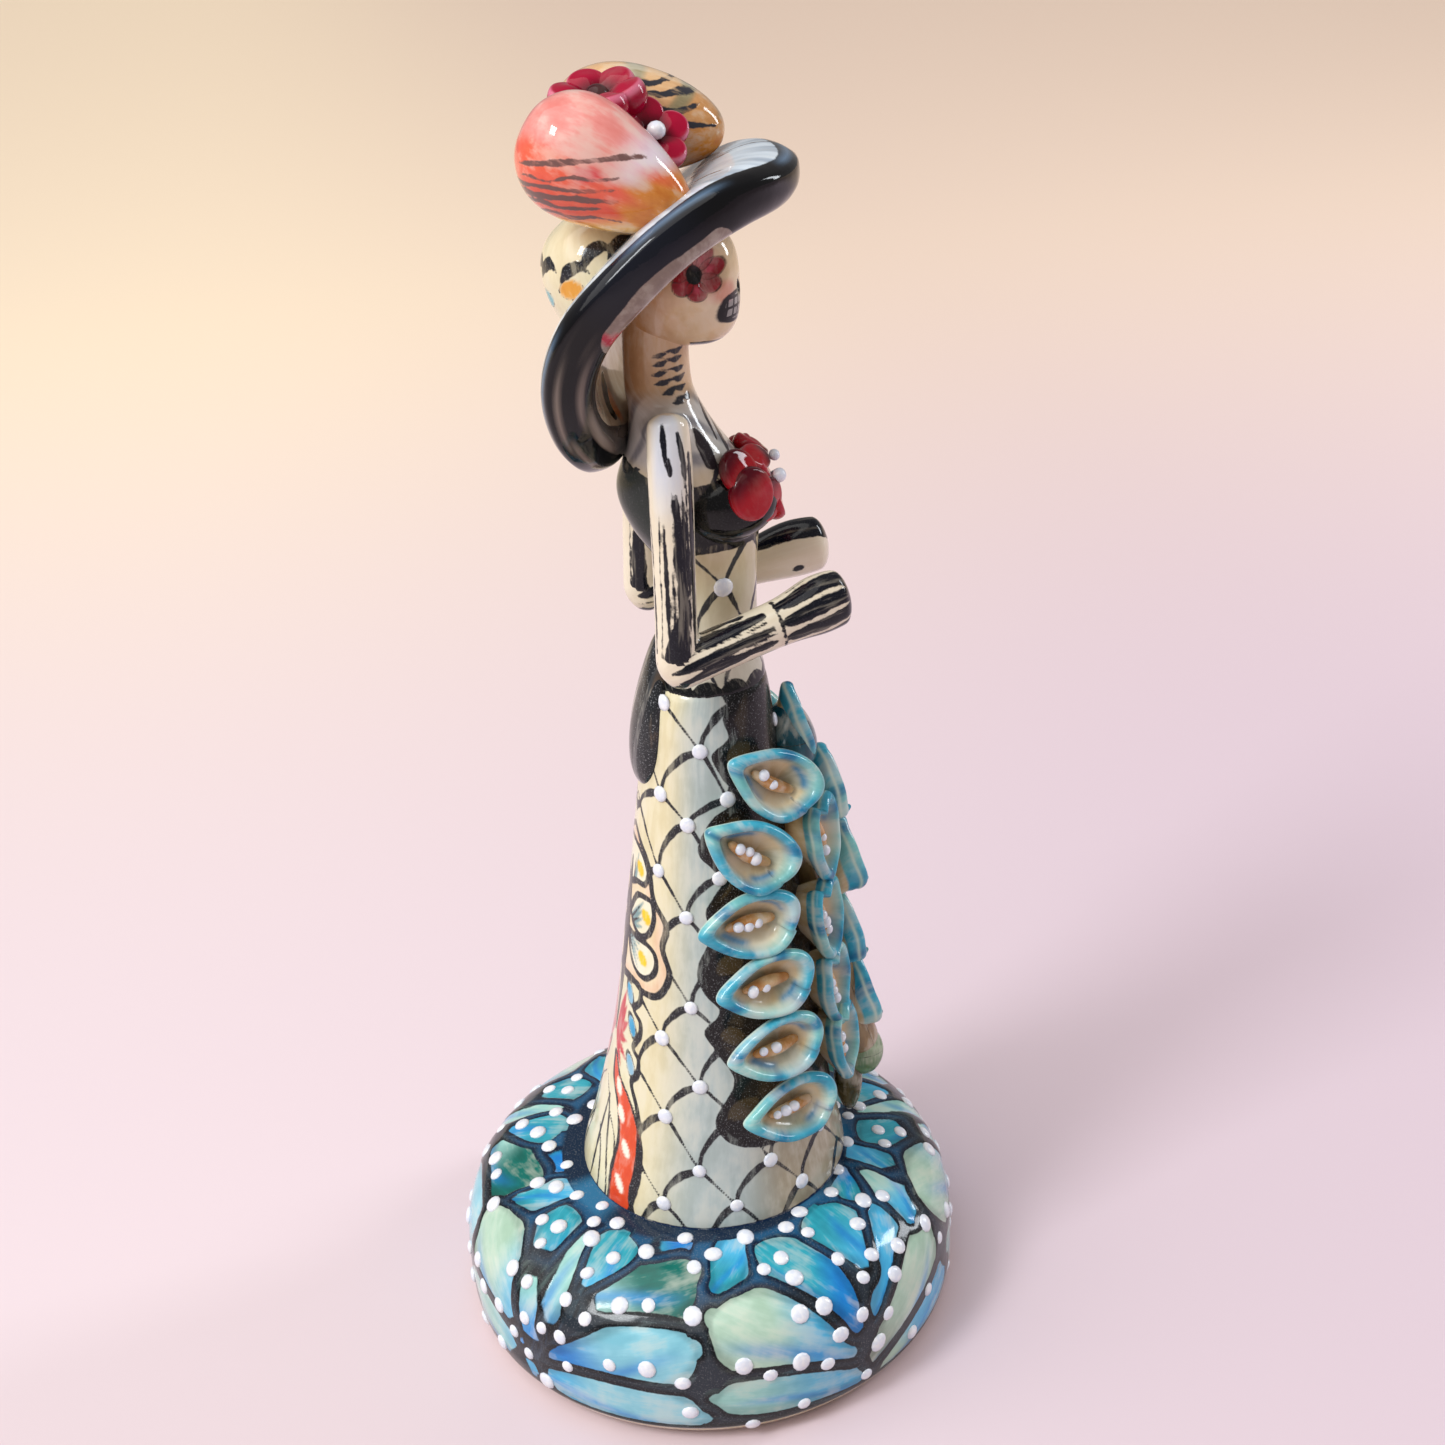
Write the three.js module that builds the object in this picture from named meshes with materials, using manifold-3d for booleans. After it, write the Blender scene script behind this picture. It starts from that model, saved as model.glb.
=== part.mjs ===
import * as THREE from 'three';
import { mergeVertices } from 'three/addons/utils/BufferGeometryUtils.js';
import Module from 'manifold-3d';

// Glazed ceramic skeleton lady in a long skirt and a wide brimmed hat, on a domed base.
// Millimetres, +Z up, origin at the middle of the base's underside.
// She faces -Y, and her right hand is at -X. All of it is one fired piece.

// Base
const baseDiameter = 125;
const baseHeight = 40.5;
const footDiameter = 110;
const bellyLevel = 9.5;
const domeSquareness = 4.1;

// Figure: its pose, proportions and carving are shares of its height above the base.
// They are written as the millimetres they measure on a figure 266 mm tall.
const figureHeight = 266;
const share = figureHeight / 266;

// Head and hat look this many degrees to her right, turned about the middle of the neck
const headTurn = 20;

// Hat brim: half its width, its thickness, and how far its sides curl up in front and behind
const brimHalfWidth = 32;
const brimThickness = 7.5;
const brimRiseFront = 3;
const brimRiseBack = 3;

// Calla lilies: half the mouth's length and width, the funnel's depth, the rolled lip's height
const lilyHalfLength = 11.4;
const lilyHalfWidth = 8.8;
const lilyDepth = 11;
const lilyLip = 2.4;

// Flat sides round each form
const baseSides = 36;
const bodySides = 24;
const brimSides = 28;
const crownSides = 16;
const skullSides = 16;
const blobSides = 11;
const limbSides = 8;
const petalSides = 6;
const lilySides = 10;

const weldDistance = 1e-4;
const right = -1;
const left = 1;
const upwards = new THREE.Vector3(0, 0, 1);
const forwards = new THREE.Vector3(0, -1, 0);
const sideways = new THREE.Vector3(1, 0, 0);

const wasm = await Module();
wasm.setup();

// A place on the figure: x to her left, y to her back, z above the base
function at(x, y, z) {
  return new THREE.Vector3(x * share, y * share, baseHeight + z * share);
}

// A direction on the turned head: to her left, to the back of her head, up
function headWay(x, y, z) {
  return new THREE.Vector3(x, y, z).applyAxisAngle(upwards, -radians(headTurn));
}

// A place on the turned head, measured from the middle of the neck, which leans forward
function onHead(x, y, z) {
  const neckForward = 1.5;
  const offset = headWay(x, y, 0);
  return at(offset.x, offset.y - neckForward, z);
}

function radians(degrees) {
  return THREE.MathUtils.degToRad(degrees);
}

function solidFrom(geometry) {
  geometry.deleteAttribute('normal');
  geometry.deleteAttribute('uv');
  const welded = mergeVertices(geometry, weldDistance);
  const corners = welded.index.array;
  const kept = [];
  for (let i = 0; i < corners.length; i += 3) {
    const [a, b, c] = [corners[i], corners[i + 1], corners[i + 2]];
    if (a !== b && b !== c && c !== a) {
      kept.push(a, b, c);
    }
  }
  return new wasm.Manifold(new wasm.Mesh({
    numProp: 3,
    vertProperties: welded.attributes.position.array,
    triVerts: new Uint32Array(kept),
  }));
}

function warp(geometry, move) {
  const position = geometry.attributes.position;
  const point = new THREE.Vector3();
  for (let i = 0; i < position.count; i += 1) {
    point.fromBufferAttribute(position, i);
    move(point);
    position.setXYZ(i, point.x, point.y, point.z);
  }
  return geometry;
}

// A form turned about +Z from [radius, height] pairs that run upwards
function turned(profile, sides) {
  const points = profile.map(([radius, height]) => new THREE.Vector2(radius, height));
  return new THREE.LatheGeometry(points, sides).rotateX(Math.PI / 2);
}

// Turns a form's +Z to facing and its +X as near as it goes to lead, and moves it to centre
function orient(geometry, centre, facing, lead) {
  const axisZ = facing.clone().normalize();
  const axisX = lead.clone().addScaledVector(axisZ, -lead.dot(axisZ)).normalize();
  const axisY = axisZ.clone().cross(axisX);
  const place = new THREE.Matrix4().makeBasis(axisX, axisY, axisZ).setPosition(centre);
  return geometry.applyMatrix4(place);
}

// An ellipsoid with radii [along lead, across, along facing], that narrows towards lead by taper
function blob(centre, radii, facing, lead, { taper = 0, sides = blobSides, rings = 7 } = {}) {
  const ball = warp(new THREE.SphereGeometry(1, sides, rings).rotateX(Math.PI / 2), (point) => {
    const narrow = 1 - taper * point.x;
    point.set(
      point.x * radii[0] * share,
      point.y * narrow * radii[1] * share,
      point.z * narrow * radii[2] * share,
    );
  });
  return solidFrom(orient(ball, centre, facing, lead));
}

// A round limb with rounded ends along a smooth curve through the stations [place, radius].
// Flat presses it thinner from side to side towards its last station.
function limb(stations, { flat = 0, sides = limbSides, steps = 4 } = {}) {
  const path = new THREE.CatmullRomCurve3(stations.map(([place]) => place), false, 'catmullrom');
  const radii = stations.map(([, radius]) => new THREE.Vector3(radius * share, 0, 0));
  const girth = new THREE.CatmullRomCurve3(radii, false, 'catmullrom');
  const end = [[0, 0], [0.7, 0.02]];
  const middle = [[1, 0.08]];
  for (let i = 1; i < steps; i += 1) {
    middle.push([1, i / steps]);
  }
  middle.push([1, 0.93]);
  const otherEnd = end.map(([radius, along]) => [radius, 1 - along]).reverse();
  return solidFrom(warp(turned([...end, ...middle, ...otherEnd], sides), (point) => {
    const along = path.getTangent(point.z);
    const side = sideways.clone().addScaledVector(along, -sideways.dot(along)).normalize();
    const up = along.clone().cross(side);
    const radius = girth.getPoint(point.z).x;
    const thinner = 1 - flat * point.z ** 2;
    const place = path.getPoint(point.z);
    place.addScaledVector(side, point.x * radius * thinner);
    place.addScaledVector(up, point.y * radius);
    point.copy(place);
  }));
}

// Base: a squarish dome over a rounded belly, flat below
function makeBase() {
  const radius = baseDiameter / 2;
  const foot = footDiameter / 2;
  const bellySteps = 2;
  const domeSteps = 7;
  const profile = [[0, 0]];
  for (let i = 0; i < bellySteps; i += 1) {
    const turn = (i / bellySteps) * Math.PI / 2;
    profile.push([foot + (radius - foot) * Math.sin(turn), bellyLevel * (1 - Math.cos(turn))]);
  }
  for (let i = 0; i <= domeSteps; i += 1) {
    const turn = (i / domeSteps) * Math.PI / 2;
    profile.push([
      i === domeSteps ? 0 : radius * Math.cos(turn) ** (2 / domeSquareness),
      bellyLevel + (baseHeight - bellyLevel) * Math.sin(turn) ** (2 / domeSquareness),
    ]);
  }
  return solidFrom(turned(profile, baseSides));
}

// Skirt, waist, chest and neck: [level, middle's way forward, half-width, half-depth]
const bodyRows = [
  [-20, 2.5, 33.6, 33.6],
  [0, 2.5, 33.2, 33.2],
  [14, 3.4, 29.9, 29.9],
  [39.5, 5.5, 25.4, 25.4],
  [79.5, 6.8, 20.1, 20.1],
  [109.5, 7.6, 16.4, 16.4],
  [127.5, 8.0, 14.2, 14.2],
  [137.5, 9.4, 11.0, 11.4],
  [149, 10.4, 9.4, 9.9],
  [160, 10.2, 10.0, 10.6],
  [171, 7.6, 12.0, 14.2],
  [179.5, 6.6, 12.6, 15.4],
  [188, 4.8, 12.4, 10.8],
  [195.5, 3.0, 10.5, 8.0],
  [202, 1.6, 6.8, 7.1],
  [218, 2.0, 6.3, 6.9],
];

// The body's row at a level, on smooth curves through its neighbours
function bodyAt(level) {
  const last = bodyRows.length - 2;
  const found = bodyRows.findIndex((row, i) => i <= last && level <= bodyRows[i + 1][0]);
  const i = found < 0 ? last : found;
  const [before, low, high, after] = [Math.max(i - 1, 0), i, i + 1, Math.min(i + 2, last + 1)]
    .map((n) => bodyRows[n]);
  const span = high[0] - low[0];
  const t = (level - low[0]) / span;
  return [1, 2, 3].map((k) => {
    const slopeLow = (high[k] - before[k]) / (high[0] - before[0]) * span;
    const slopeHigh = (after[k] - low[k]) / (after[0] - low[0]) * span;
    const bend = (low[k] - high[k]) * 2 + slopeLow + slopeHigh;
    const pull = (high[k] - low[k]) * 3 - slopeLow * 2 - slopeHigh;
    return ((bend * t + pull) * t + slopeLow) * t + low[k];
  });
}

function makeBody() {
  const outline = bodyRows.map(([level]) => [1, level]);
  const profile = [[0, bodyRows[0][0]], ...outline, [0, bodyRows.at(-1)[0]]];
  return solidFrom(warp(turned(profile, bodySides), (point) => {
    const [forward, halfWidth, halfDepth] = bodyAt(point.z);
    point.copy(at(point.x * halfWidth, point.y * halfDepth - forward, point.z));
  }));
}

// A place off the skirt: angle in degrees from her front towards one side, at a level
function offSkirt(side, angle, level, standOff) {
  const [forward, halfWidth, halfDepth] = bodyAt(level);
  const turn = radians(angle);
  return at(
    side * (halfWidth + standOff) * Math.sin(turn),
    -forward - (halfDepth + standOff) * Math.cos(turn),
    level,
  );
}

function outFrom(side, angle, lift) {
  const turn = radians(angle);
  return new THREE.Vector3(side * Math.sin(turn), -Math.cos(turn), Math.tan(radians(lift)));
}

// Flower: round petals in a ring about facing, with a bead in the middle
function flower(centre, facing, lead, { petals, reach, radii, bead = 0, cup = 0 }) {
  const axis = facing.clone().normalize();
  const first = lead.clone().addScaledVector(axis, -lead.dot(axis)).normalize();
  const parts = [];
  for (let i = 0; i < petals; i += 1) {
    const outward = first.clone().applyAxisAngle(axis, (i / petals) * Math.PI * 2);
    const place = centre.clone().addScaledVector(outward, reach * share);
    const tilted = axis.clone().addScaledVector(outward, -cup);
    parts.push(blob(place, radii, tilted, outward, { sides: petalSides, rings: 4 }));
  }
  if (bead > 0) {
    const place = centre.clone().addScaledVector(axis, radii[2] * 0.3 * share);
    parts.push(blob(place, [bead, bead, radii[2]], axis, first, { sides: petalSides, rings: 4 }));
  }
  return parts;
}

// Calla lily: a funnel whose mouth is a hollow teardrop with a rolled lip, centred at mouth.
// Its foot trails away from the tip by trail.
function lily(mouth, facing, tip, { depth = lilyDepth, trail = 4, size = 1 } = {}) {
  const lipTop = 0.22;
  const profile = [[0, -1], [0.62, -0.45], [1, 0], [0.84, lipTop], [0.45, -0.2], [0, -0.4]];
  const pinch = 0.3;
  const curl = 0.3;
  const funnel = warp(turned(profile, lilySides), (point) => {
    const reach = Math.hypot(point.x, point.y);
    const towardsTip = reach > 0 ? point.x / reach : 0;
    const below = Math.max(-point.z, 0);
    const lip = lilyLip * Math.max(point.z, 0) / lipTop;
    const curlBack = curl * lilyLip * Math.max(towardsTip, 0) ** 3 * reach ** 2;
    point.set(
      point.x * lilyHalfLength * size - trail * below * share,
      point.y * (1 - pinch * towardsTip) * lilyHalfWidth * size,
      lip - curlBack - below * depth,
    );
  });
  return solidFrom(orient(funnel, mouth, facing, tip));
}

// Lilies fanned over each side of the skirt: [level, angle, stand-off, the tip's rise in degrees]
const sideLilies = [
  [112, 53, 5, 36],
  [98, 79, 6.5, 32],
  [81, 81, 6, 6],
  [65.4, 76, 6.8, -6],
  [49, 74, 7.2, -8],
  [31, 68, 6.2, -15],
];
// Lilies beside the middle, tips down, and in the middle, tips up: [level, angle, stand-off]
const innerLilies = [[93, 26, 7.4], [71, 27, 5.5], [51.5, 25, 4.8], [34.5, 23, 4.7]];
const middleLilies = [[116, 0, 4.5], [99, 0, 10.5], [78.5, 0, 12.5], [57.5, 0, 10], [38, 0, 11.5]];

function makeLilies() {
  const parts = [];
  for (const side of [right, left]) {
    for (const [level, angle, standOff, rise] of sideLilies) {
      const backwards = outFrom(side, angle + 90, 0);
      const tip = backwards.addScaledVector(upwards, Math.tan(radians(rise)));
      parts.push(lily(offSkirt(side, angle, level, standOff), outFrom(side, angle, 10), tip));
    }
    for (const [level, angle, standOff] of innerLilies) {
      const mouth = offSkirt(side, angle, level, standOff);
      const tip = upwards.clone().negate();
      parts.push(lily(mouth, outFrom(side, angle + 8, 6), tip, { size: 0.9, trail: 2 }));
    }
  }
  for (const [level, angle, standOff] of middleLilies) {
    const mouth = offSkirt(left, angle, level, standOff);
    const facing = outFrom(left, angle, 12);
    const depth = (standOff + 5) * share;
    parts.push(lily(mouth, facing, upwards, { size: 0.85, depth, trail: 9 }));
  }
  return parts;
}

// Stems gathered down the front into a tied knot, with leaves above and below
function makeStems() {
  const stemPath = [[86, 1, 4], [62, 3, 5], [38, 6, 5.5], [20, 10, 5]];
  const stems = stemPath.map(([level, standOff, radius]) => [offSkirt(left, 0, level, standOff), radius]);
  const knot = blob(offSkirt(left, 0, 20, 9.5), [7, 5, 5.5], forwards, upwards);
  const lowLeaf = blob(offSkirt(left, 0, 11, 4.5), [9, 5, 3.5], forwards, upwards, { taper: -0.2 });
  const topLeaf = blob(offSkirt(left, 0, 113.5, 2.6), [9.5, 8, 6.5], forwards, upwards, { taper: 0.25 });
  return [limb(stems), knot, lowLeaf, topLeaf];
}

// Bodice: two halves of the bust, the swell between them and the flower over it
function makeBust() {
  const parts = [right, left].map((side) => {
    return blob(at(side * 6.8, -13.2, 176), [8.4, 11.4, 8.4], upwards, sideways);
  });
  parts.push(blob(at(0, -12.8, 175.8), [9, 11, 7.8], upwards, sideways));
  const facing = new THREE.Vector3(0, -1, 0.35);
  const rose = { petals: 5, reach: 5.6, radii: [5, 4.8, 3.2], bead: 2.6 };
  return [...parts, ...flower(at(0, -21.8, 177.2), facing, sideways, rose)];
}

// Flap of the sash that hangs behind the waist
function makeFlap() {
  return blob(at(0, 5, 126), [19, 7.5, 4], new THREE.Vector3(0, 1, 0.16), upwards, { taper: 0.4 });
}

// Shoulders, upper arms down to the elbows, and forearms forward to flattened hands,
// her left one further forward
function makeArms() {
  const leftReach = 2.5;
  const parts = [blob(at(0, -1.5, 194), [16.5, 5.8, 5.2], upwards, sideways)];
  for (const side of [right, left]) {
    parts.push(limb([
      [at(side * 14.8, -0.8, 200.5), 4.6],
      [at(side * 16.6, -0.2, 190), 5.2],
      [at(side * 19.2, 0.9, 165), 4.6],
      [at(side * 21, 2, 141.5), 4.6],
    ]));
    const reach = side === left ? leftReach : 0;
    parts.push(limb([
      [at(side * 21.2, 5.4, 144.5), 5.2],
      [at(side * 19.4, -8, 148), 5.3],
      [at(side * 16.4, -22, 150.8), 5.4],
      [at(side * 14.2, -31 - reach / 2, 152.6 + reach / 2), 6.9],
      [at(side * 13.4, -38 - reach, 153.8 + reach / 2), 6.2],
    ], { flat: 0.3 }));
  }
  return parts;
}

// Skull: boxy seen from the side, narrow at the jaw, with shallow eye sockets
function makeHead() {
  const squareness = 3;
  const jaw = 0.2;
  const radii = [10.6, 12.3, 12.8];
  const skull = warp(new THREE.SphereGeometry(1, skullSides, 10).rotateX(Math.PI / 2), (point) => {
    const round = Math.hypot(point.y, point.z);
    const square = (Math.abs(point.y) ** squareness + Math.abs(point.z) ** squareness) ** (1 / squareness);
    const swell = square > 0 ? round / square : 1;
    point.set(
      point.x * radii[0] * (1 + jaw * Math.min(point.z, 0)) * share,
      point.y * radii[1] * swell * share,
      point.z * radii[2] * swell * share,
    );
  });
  let head = solidFrom(orient(skull, onHead(0, -6, 222.6), upwards, headWay(1, 0, 0)));
  const socket = [4.2, 4, 1.6];
  for (const side of [right, left]) {
    const facing = headWay(side * 0.72, -0.7, 0);
    head = head.subtract(blob(onHead(side * 8.9, -14.4, 227.8), socket, facing, upwards));
  }
  return head;
}

// Hat: a slab bent over the head from front to back, with its sides curled up, and the crown
function makeBrim() {
  const bend = [
    [-31.5, 245.7], [-20, 244.3], [-10, 239.3], [0, 231],
    [9.5, 220.8], [14.6, 209.5], [15.4, 196.5], [12.6, 183],
  ];
  const middle = new THREE.CatmullRomCurve3(bend.map(([back, level]) => onHead(0, back, level)));
  const profile = [
    [0, -0.5], [0.5, -0.5], [0.85, -0.45], [0.97, -0.2], [0.97, 0.2], [0.85, 0.45], [0.5, 0.5], [0, 0.5],
  ];
  const curl = 1.6;
  const across = headWay(1, 0, 0);
  return solidFrom(warp(turned(profile, brimSides), (point) => {
    const along = (point.y + 1) / 2;
    const out = across.clone().cross(middle.getTangentAt(along));
    const rise = THREE.MathUtils.lerp(brimRiseFront, brimRiseBack, along) * Math.abs(point.x) ** curl;
    const place = middle.getPointAt(along);
    place.addScaledVector(out, point.z * brimThickness + rise);
    place.addScaledVector(across, point.x * brimHalfWidth);
    point.copy(place);
  }));
}

function makeHat() {
  const dome = [[0, -6], [11.5, -6], [13.4, -1], [13.9, 4], [13, 9.5], [10, 13.8], [5, 16.3], [0, 16.8]]
    .map(([radius, height]) => [radius * share, height * share]);
  const crown = solidFrom(
    orient(turned(dome, crownSides), onHead(0, 6.9, 222), headWay(0, 0.3, 0.95), sideways),
  );
  const lobes = [
    [onHead(-15, 4.4, 248.8), headWay(-1, 0, 0.2), headWay(0.1, -0.88, -0.5), [17.8, 11.8, 10.8], 0.38],
    [onHead(13, 2.5, 252.5), headWay(1, 0, 0.3), headWay(0, -0.97, -0.2), [17.5, 10.5, 10.5], 0.2],
  ].map(([centre, facing, lead, radii, taper]) => blob(centre, radii, facing, lead, { taper }));
  const flowers = [
    ...flower(onHead(0, 8, 259.6), headWay(-0.1, 0.1, 1), headWay(0, -1, 0),
      { petals: 5, reach: 5.8, radii: [3.9, 4.8, 4.6], bead: 2.8, cup: 0.35 }),
    ...flower(onHead(0, -1.8, 252.2), headWay(-0.2, -0.7, 0.9), headWay(0, 1, 0),
      { petals: 5, reach: 4.6, radii: [3.2, 3.4, 3.2], bead: 2.2, cup: 0.2 }),
  ];
  return [makeBrim(), crown, ...lobes, ...flowers];
}

function meshFrom(solid, name, material) {
  const { vertProperties, triVerts } = solid.getMesh();
  const geometry = new THREE.BufferGeometry();
  geometry.setAttribute('position', new THREE.BufferAttribute(vertProperties, 3));
  geometry.setIndex(new THREE.BufferAttribute(triVerts, 1));
  geometry.computeVertexNormals();
  const mesh = new THREE.Mesh(geometry, material);
  mesh.name = name;
  return mesh;
}

const forms = [
  makeBody(),
  makeHead(),
  ...makeLilies(),
  ...makeStems(),
  ...makeBust(),
  makeFlap(),
  ...makeArms(),
  ...makeHat(),
];
const figure = forms.reduce((whole, form) => whole.add(form), makeBase());

const glaze = new THREE.MeshStandardMaterial({ color: 0xd9d2b8, roughness: 0.2, metalness: 0 });
const model = new THREE.Group();
model.add(meshFrom(figure, 'skeleton_figure', glaze));
export default model;
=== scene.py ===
import math

import bpy
import numpy as np
from bpy.props import FloatProperty, FloatVectorProperty, PointerProperty
from mathutils import Matrix, Vector


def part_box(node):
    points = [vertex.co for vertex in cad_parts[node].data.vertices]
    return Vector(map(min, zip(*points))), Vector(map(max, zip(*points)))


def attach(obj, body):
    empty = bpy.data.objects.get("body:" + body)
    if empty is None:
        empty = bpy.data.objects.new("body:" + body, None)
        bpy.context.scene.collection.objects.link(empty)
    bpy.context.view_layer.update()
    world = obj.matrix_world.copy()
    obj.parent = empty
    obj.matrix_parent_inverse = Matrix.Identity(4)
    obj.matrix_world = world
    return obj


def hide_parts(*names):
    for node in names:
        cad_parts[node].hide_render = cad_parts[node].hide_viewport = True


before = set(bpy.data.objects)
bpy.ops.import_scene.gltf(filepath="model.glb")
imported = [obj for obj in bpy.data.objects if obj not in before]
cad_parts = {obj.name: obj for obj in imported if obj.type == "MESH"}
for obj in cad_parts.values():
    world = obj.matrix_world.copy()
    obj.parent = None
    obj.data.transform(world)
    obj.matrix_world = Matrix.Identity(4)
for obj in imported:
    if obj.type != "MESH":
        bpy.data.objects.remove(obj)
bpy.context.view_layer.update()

bl_info = {
    "name": "Painted Skeleton Lady",
    "version": (1, 0, 0),
    "blender": (4, 5, 0),
    "location": "3D View > Sidebar > Skeleton Lady",
    "description": "Makes a glazed ceramic skeleton lady with calla lilies on her painted skirt",
    "category": "Add Mesh",
}

# The figure is worked out in millimetres and laid down in metres.
MM = 0.001
FIGURE_NODE = "skeleton_figure"
LOW, HIGH = [np.array(corner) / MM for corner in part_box(FIGURE_NODE)]

# Base
BASE_RADIUS = (HIGH[0] - LOW[0]) / 2
FOOT_RADIUS = 55.0
BASE_HEIGHT = 40.5
BELLY_LEVEL = 9.5
DOME_SQUARENESS = 4.1

# Figure: millimetres on a lady 266 mm tall above the base, measured to the top of her bow
SHARE = (HIGH[2] - BASE_HEIGHT) / 265.52
HEAD_TURN = math.radians(20)
NECK_FORWARD = 1.5
RIGHT, LEFT = -1, 1
SIDES = (RIGHT, LEFT)
UP = np.array([0, 0, 1.0])

# Skirt, waist, chest and neck: level, middle's way forward, half-width, half-depth
BODY_ROWS = np.array([
    [-20, 2.5, 33.6, 33.6], [0, 2.5, 33.2, 33.2], [14, 3.4, 29.9, 29.9], [39.5, 5.5, 25.4, 25.4],
    [79.5, 6.8, 20.1, 20.1], [109.5, 7.6, 16.4, 16.4], [127.5, 8.0, 14.2, 14.2],
    [137.5, 9.4, 11.0, 11.4], [149, 10.4, 9.4, 9.9], [160, 10.2, 10.0, 10.6], [171, 7.6, 12.0, 14.2],
    [179.5, 6.6, 12.6, 15.4], [188, 4.8, 12.4, 10.8], [195.5, 3.0, 10.5, 8.0], [202, 1.6, 6.8, 7.1],
    [218, 2.0, 6.3, 6.9],
])
SKIRT_TOP = 132.5
NECK_TOP = 219

# Calla lilies on the skirt: level, angle from her front, stand-off, and for the side row the
# tip's rise and how far the mouth is turned to her back
SIDE_LILIES = [
    (112, 57, 5.2, 37, 17), (98, 79, 6.5, 40, 0), (81, 81, 6, 2, 0),
    (65.4, 76, 6.8, 2, 0), (49, 74, 7.2, 1, 0), (31, 68, 6.2, 2, 4),
]
INNER_LILIES = [(93, 26, 7.4), (71, 27, 5.5), (51.5, 25, 4.8), (34.5, 23, 4.7)]
MIDDLE_LILIES = [(116, 0, 4.5), (99, 0, 10.5), (78.5, 0, 12.5), (57.5, 0, 10), (38, 0, 11.5)]
LILY_HALF_LENGTH = 12.2
LILY_HALF_WIDTH = 7.9
LILY_DEPTH = 11.0


def paint(code):
    """A paint colour from its six-figure code, as linear red, green and blue."""
    parts = np.array([int(code[i:i + 2], 16) for i in (0, 2, 4)]) / 255
    return np.where(parts <= 0.04045, parts / 12.92, ((parts + 0.055) / 1.055) ** 2.4)


CHARCOAL = paint("34353a")
BONE = paint("e6dac2")
LEAF_BROWN = paint("473c27")

# Ink edges where no ink lies, and where a mark isn't meant
BARE = -2.0
ABSENT = -3.0


# Places on the figure

def at(x, y, z):
    """A place: x to her left, y to her back, z above the base."""
    return np.array([x * SHARE, y * SHARE, BASE_HEIGHT + z * SHARE])


def head_way(x, y, z):
    """A direction on the turned head: to her left, to the back of her head, up."""
    c, s = math.cos(HEAD_TURN), math.sin(HEAD_TURN)
    return np.array([x * c + y * s, -x * s + y * c, z])


def on_head(x, y, z):
    way = head_way(x, y, 0)
    return at(way[0], way[1] - NECK_FORWARD, z)


def unit(way):
    way = np.asarray(way, float)
    return way / np.linalg.norm(way)


def smooth_step(value, low, high):
    t = np.clip((value - low) / (high - low), 0, 1)
    return t * t * (3 - 2 * t)


def mix(first, second, share):
    """Between two colours, or fields of colour, by a share from 0 to 1."""
    share = np.asarray(share)[..., None]
    return first * (1 - share) + second * share


def body_at(level):
    """The body's way forward, half-width and half-depth at levels, on curves through its rows."""
    level = np.asarray(level, float)
    last = len(BODY_ROWS) - 2
    i = np.clip(np.searchsorted(BODY_ROWS[:, 0], level) - 1, 0, last)
    before, low = BODY_ROWS[np.maximum(i - 1, 0)], BODY_ROWS[i]
    high, after = BODY_ROWS[i + 1], BODY_ROWS[np.minimum(i + 2, last + 1)]
    span = (high - low)[..., :1]
    t = (level[..., None] - low[..., :1]) / span
    slope_low = (high - before) / (high - before)[..., :1] * span
    slope_high = (after - low) / (after - low)[..., :1] * span
    bend = (low - high) * 2 + slope_low + slope_high
    pull = (high - low) * 3 - slope_low * 2 - slope_high
    found = ((bend * t + pull) * t + slope_low) * t + low
    return found[..., 1], found[..., 2], found[..., 3]


def off_body(angle, level, stand_off=0.0):
    """Places off the body: angle in radians from her front towards her right."""
    forward, half_width, half_depth = body_at(level)
    x = -(half_width + stand_off) * np.sin(angle)
    y = -forward - (half_depth + stand_off) * np.cos(angle)
    return np.stack([x * SHARE, y * SHARE, BASE_HEIGHT + level * SHARE + 0 * x], -1)


def curve_points(points, count):
    """Places along a smooth curve through points, evenly in its own count of spans."""
    points = np.asarray(points, float)
    t = np.linspace(0, len(points) - 1, count)
    i = np.minimum(t.astype(int), len(points) - 2)
    t = (t - i)[:, None]
    padded = np.vstack([2 * points[0] - points[1], points, 2 * points[-1] - points[-2]])
    a, b, c, d = padded[i], padded[i + 1], padded[i + 2], padded[i + 3]
    pull, bend, twist = c - a, 2 * a - 5 * b + 4 * c - d, 3 * b - a - 3 * c + d
    return 0.5 * (2 * b + pull * t + bend * t ** 2 + twist * t ** 3)


# Closed forms as grids of rows from one pole to the other

def grid_mesh(grid):
    """Vertices and faces of a grid whose first and last rows are poles, and whose columns close."""
    rows, cols = grid.shape[:2]
    points = np.vstack([grid[:1, 0], grid[1:-1].reshape(-1, 3), grid[-1:, 0]])
    ring = np.arange(cols)
    after = (ring + 1) % cols
    faces = [(0, 1 + b, 1 + a) for a, b in zip(ring, after)]
    for row in range(rows - 3):
        low, high = 1 + row * cols, 1 + (row + 1) * cols
        faces += [(low + a, low + b, high + b, high + a) for a, b in zip(ring, after)]
    top, last = 1 + (rows - 3) * cols, len(points) - 1
    faces += [(top + a, top + b, last) for a, b in zip(ring, after)]
    triangles = np.array([face[:3] for face in faces])
    corner = points[triangles]
    volume = np.einsum("ij,ij->i", corner[:, 0], np.cross(corner[:, 1], corner[:, 2])).sum()
    if volume < 0:
        faces = [face[::-1] for face in faces]
    return points, faces


def grid_values(values):
    """Values laid out on a grid's rows and columns, as grid_mesh lays out its vertices."""
    rest = values.shape[2:]
    return np.concatenate([values[:1, 0], values[1:-1].reshape((-1,) + rest), values[-1:, 0]])


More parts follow.
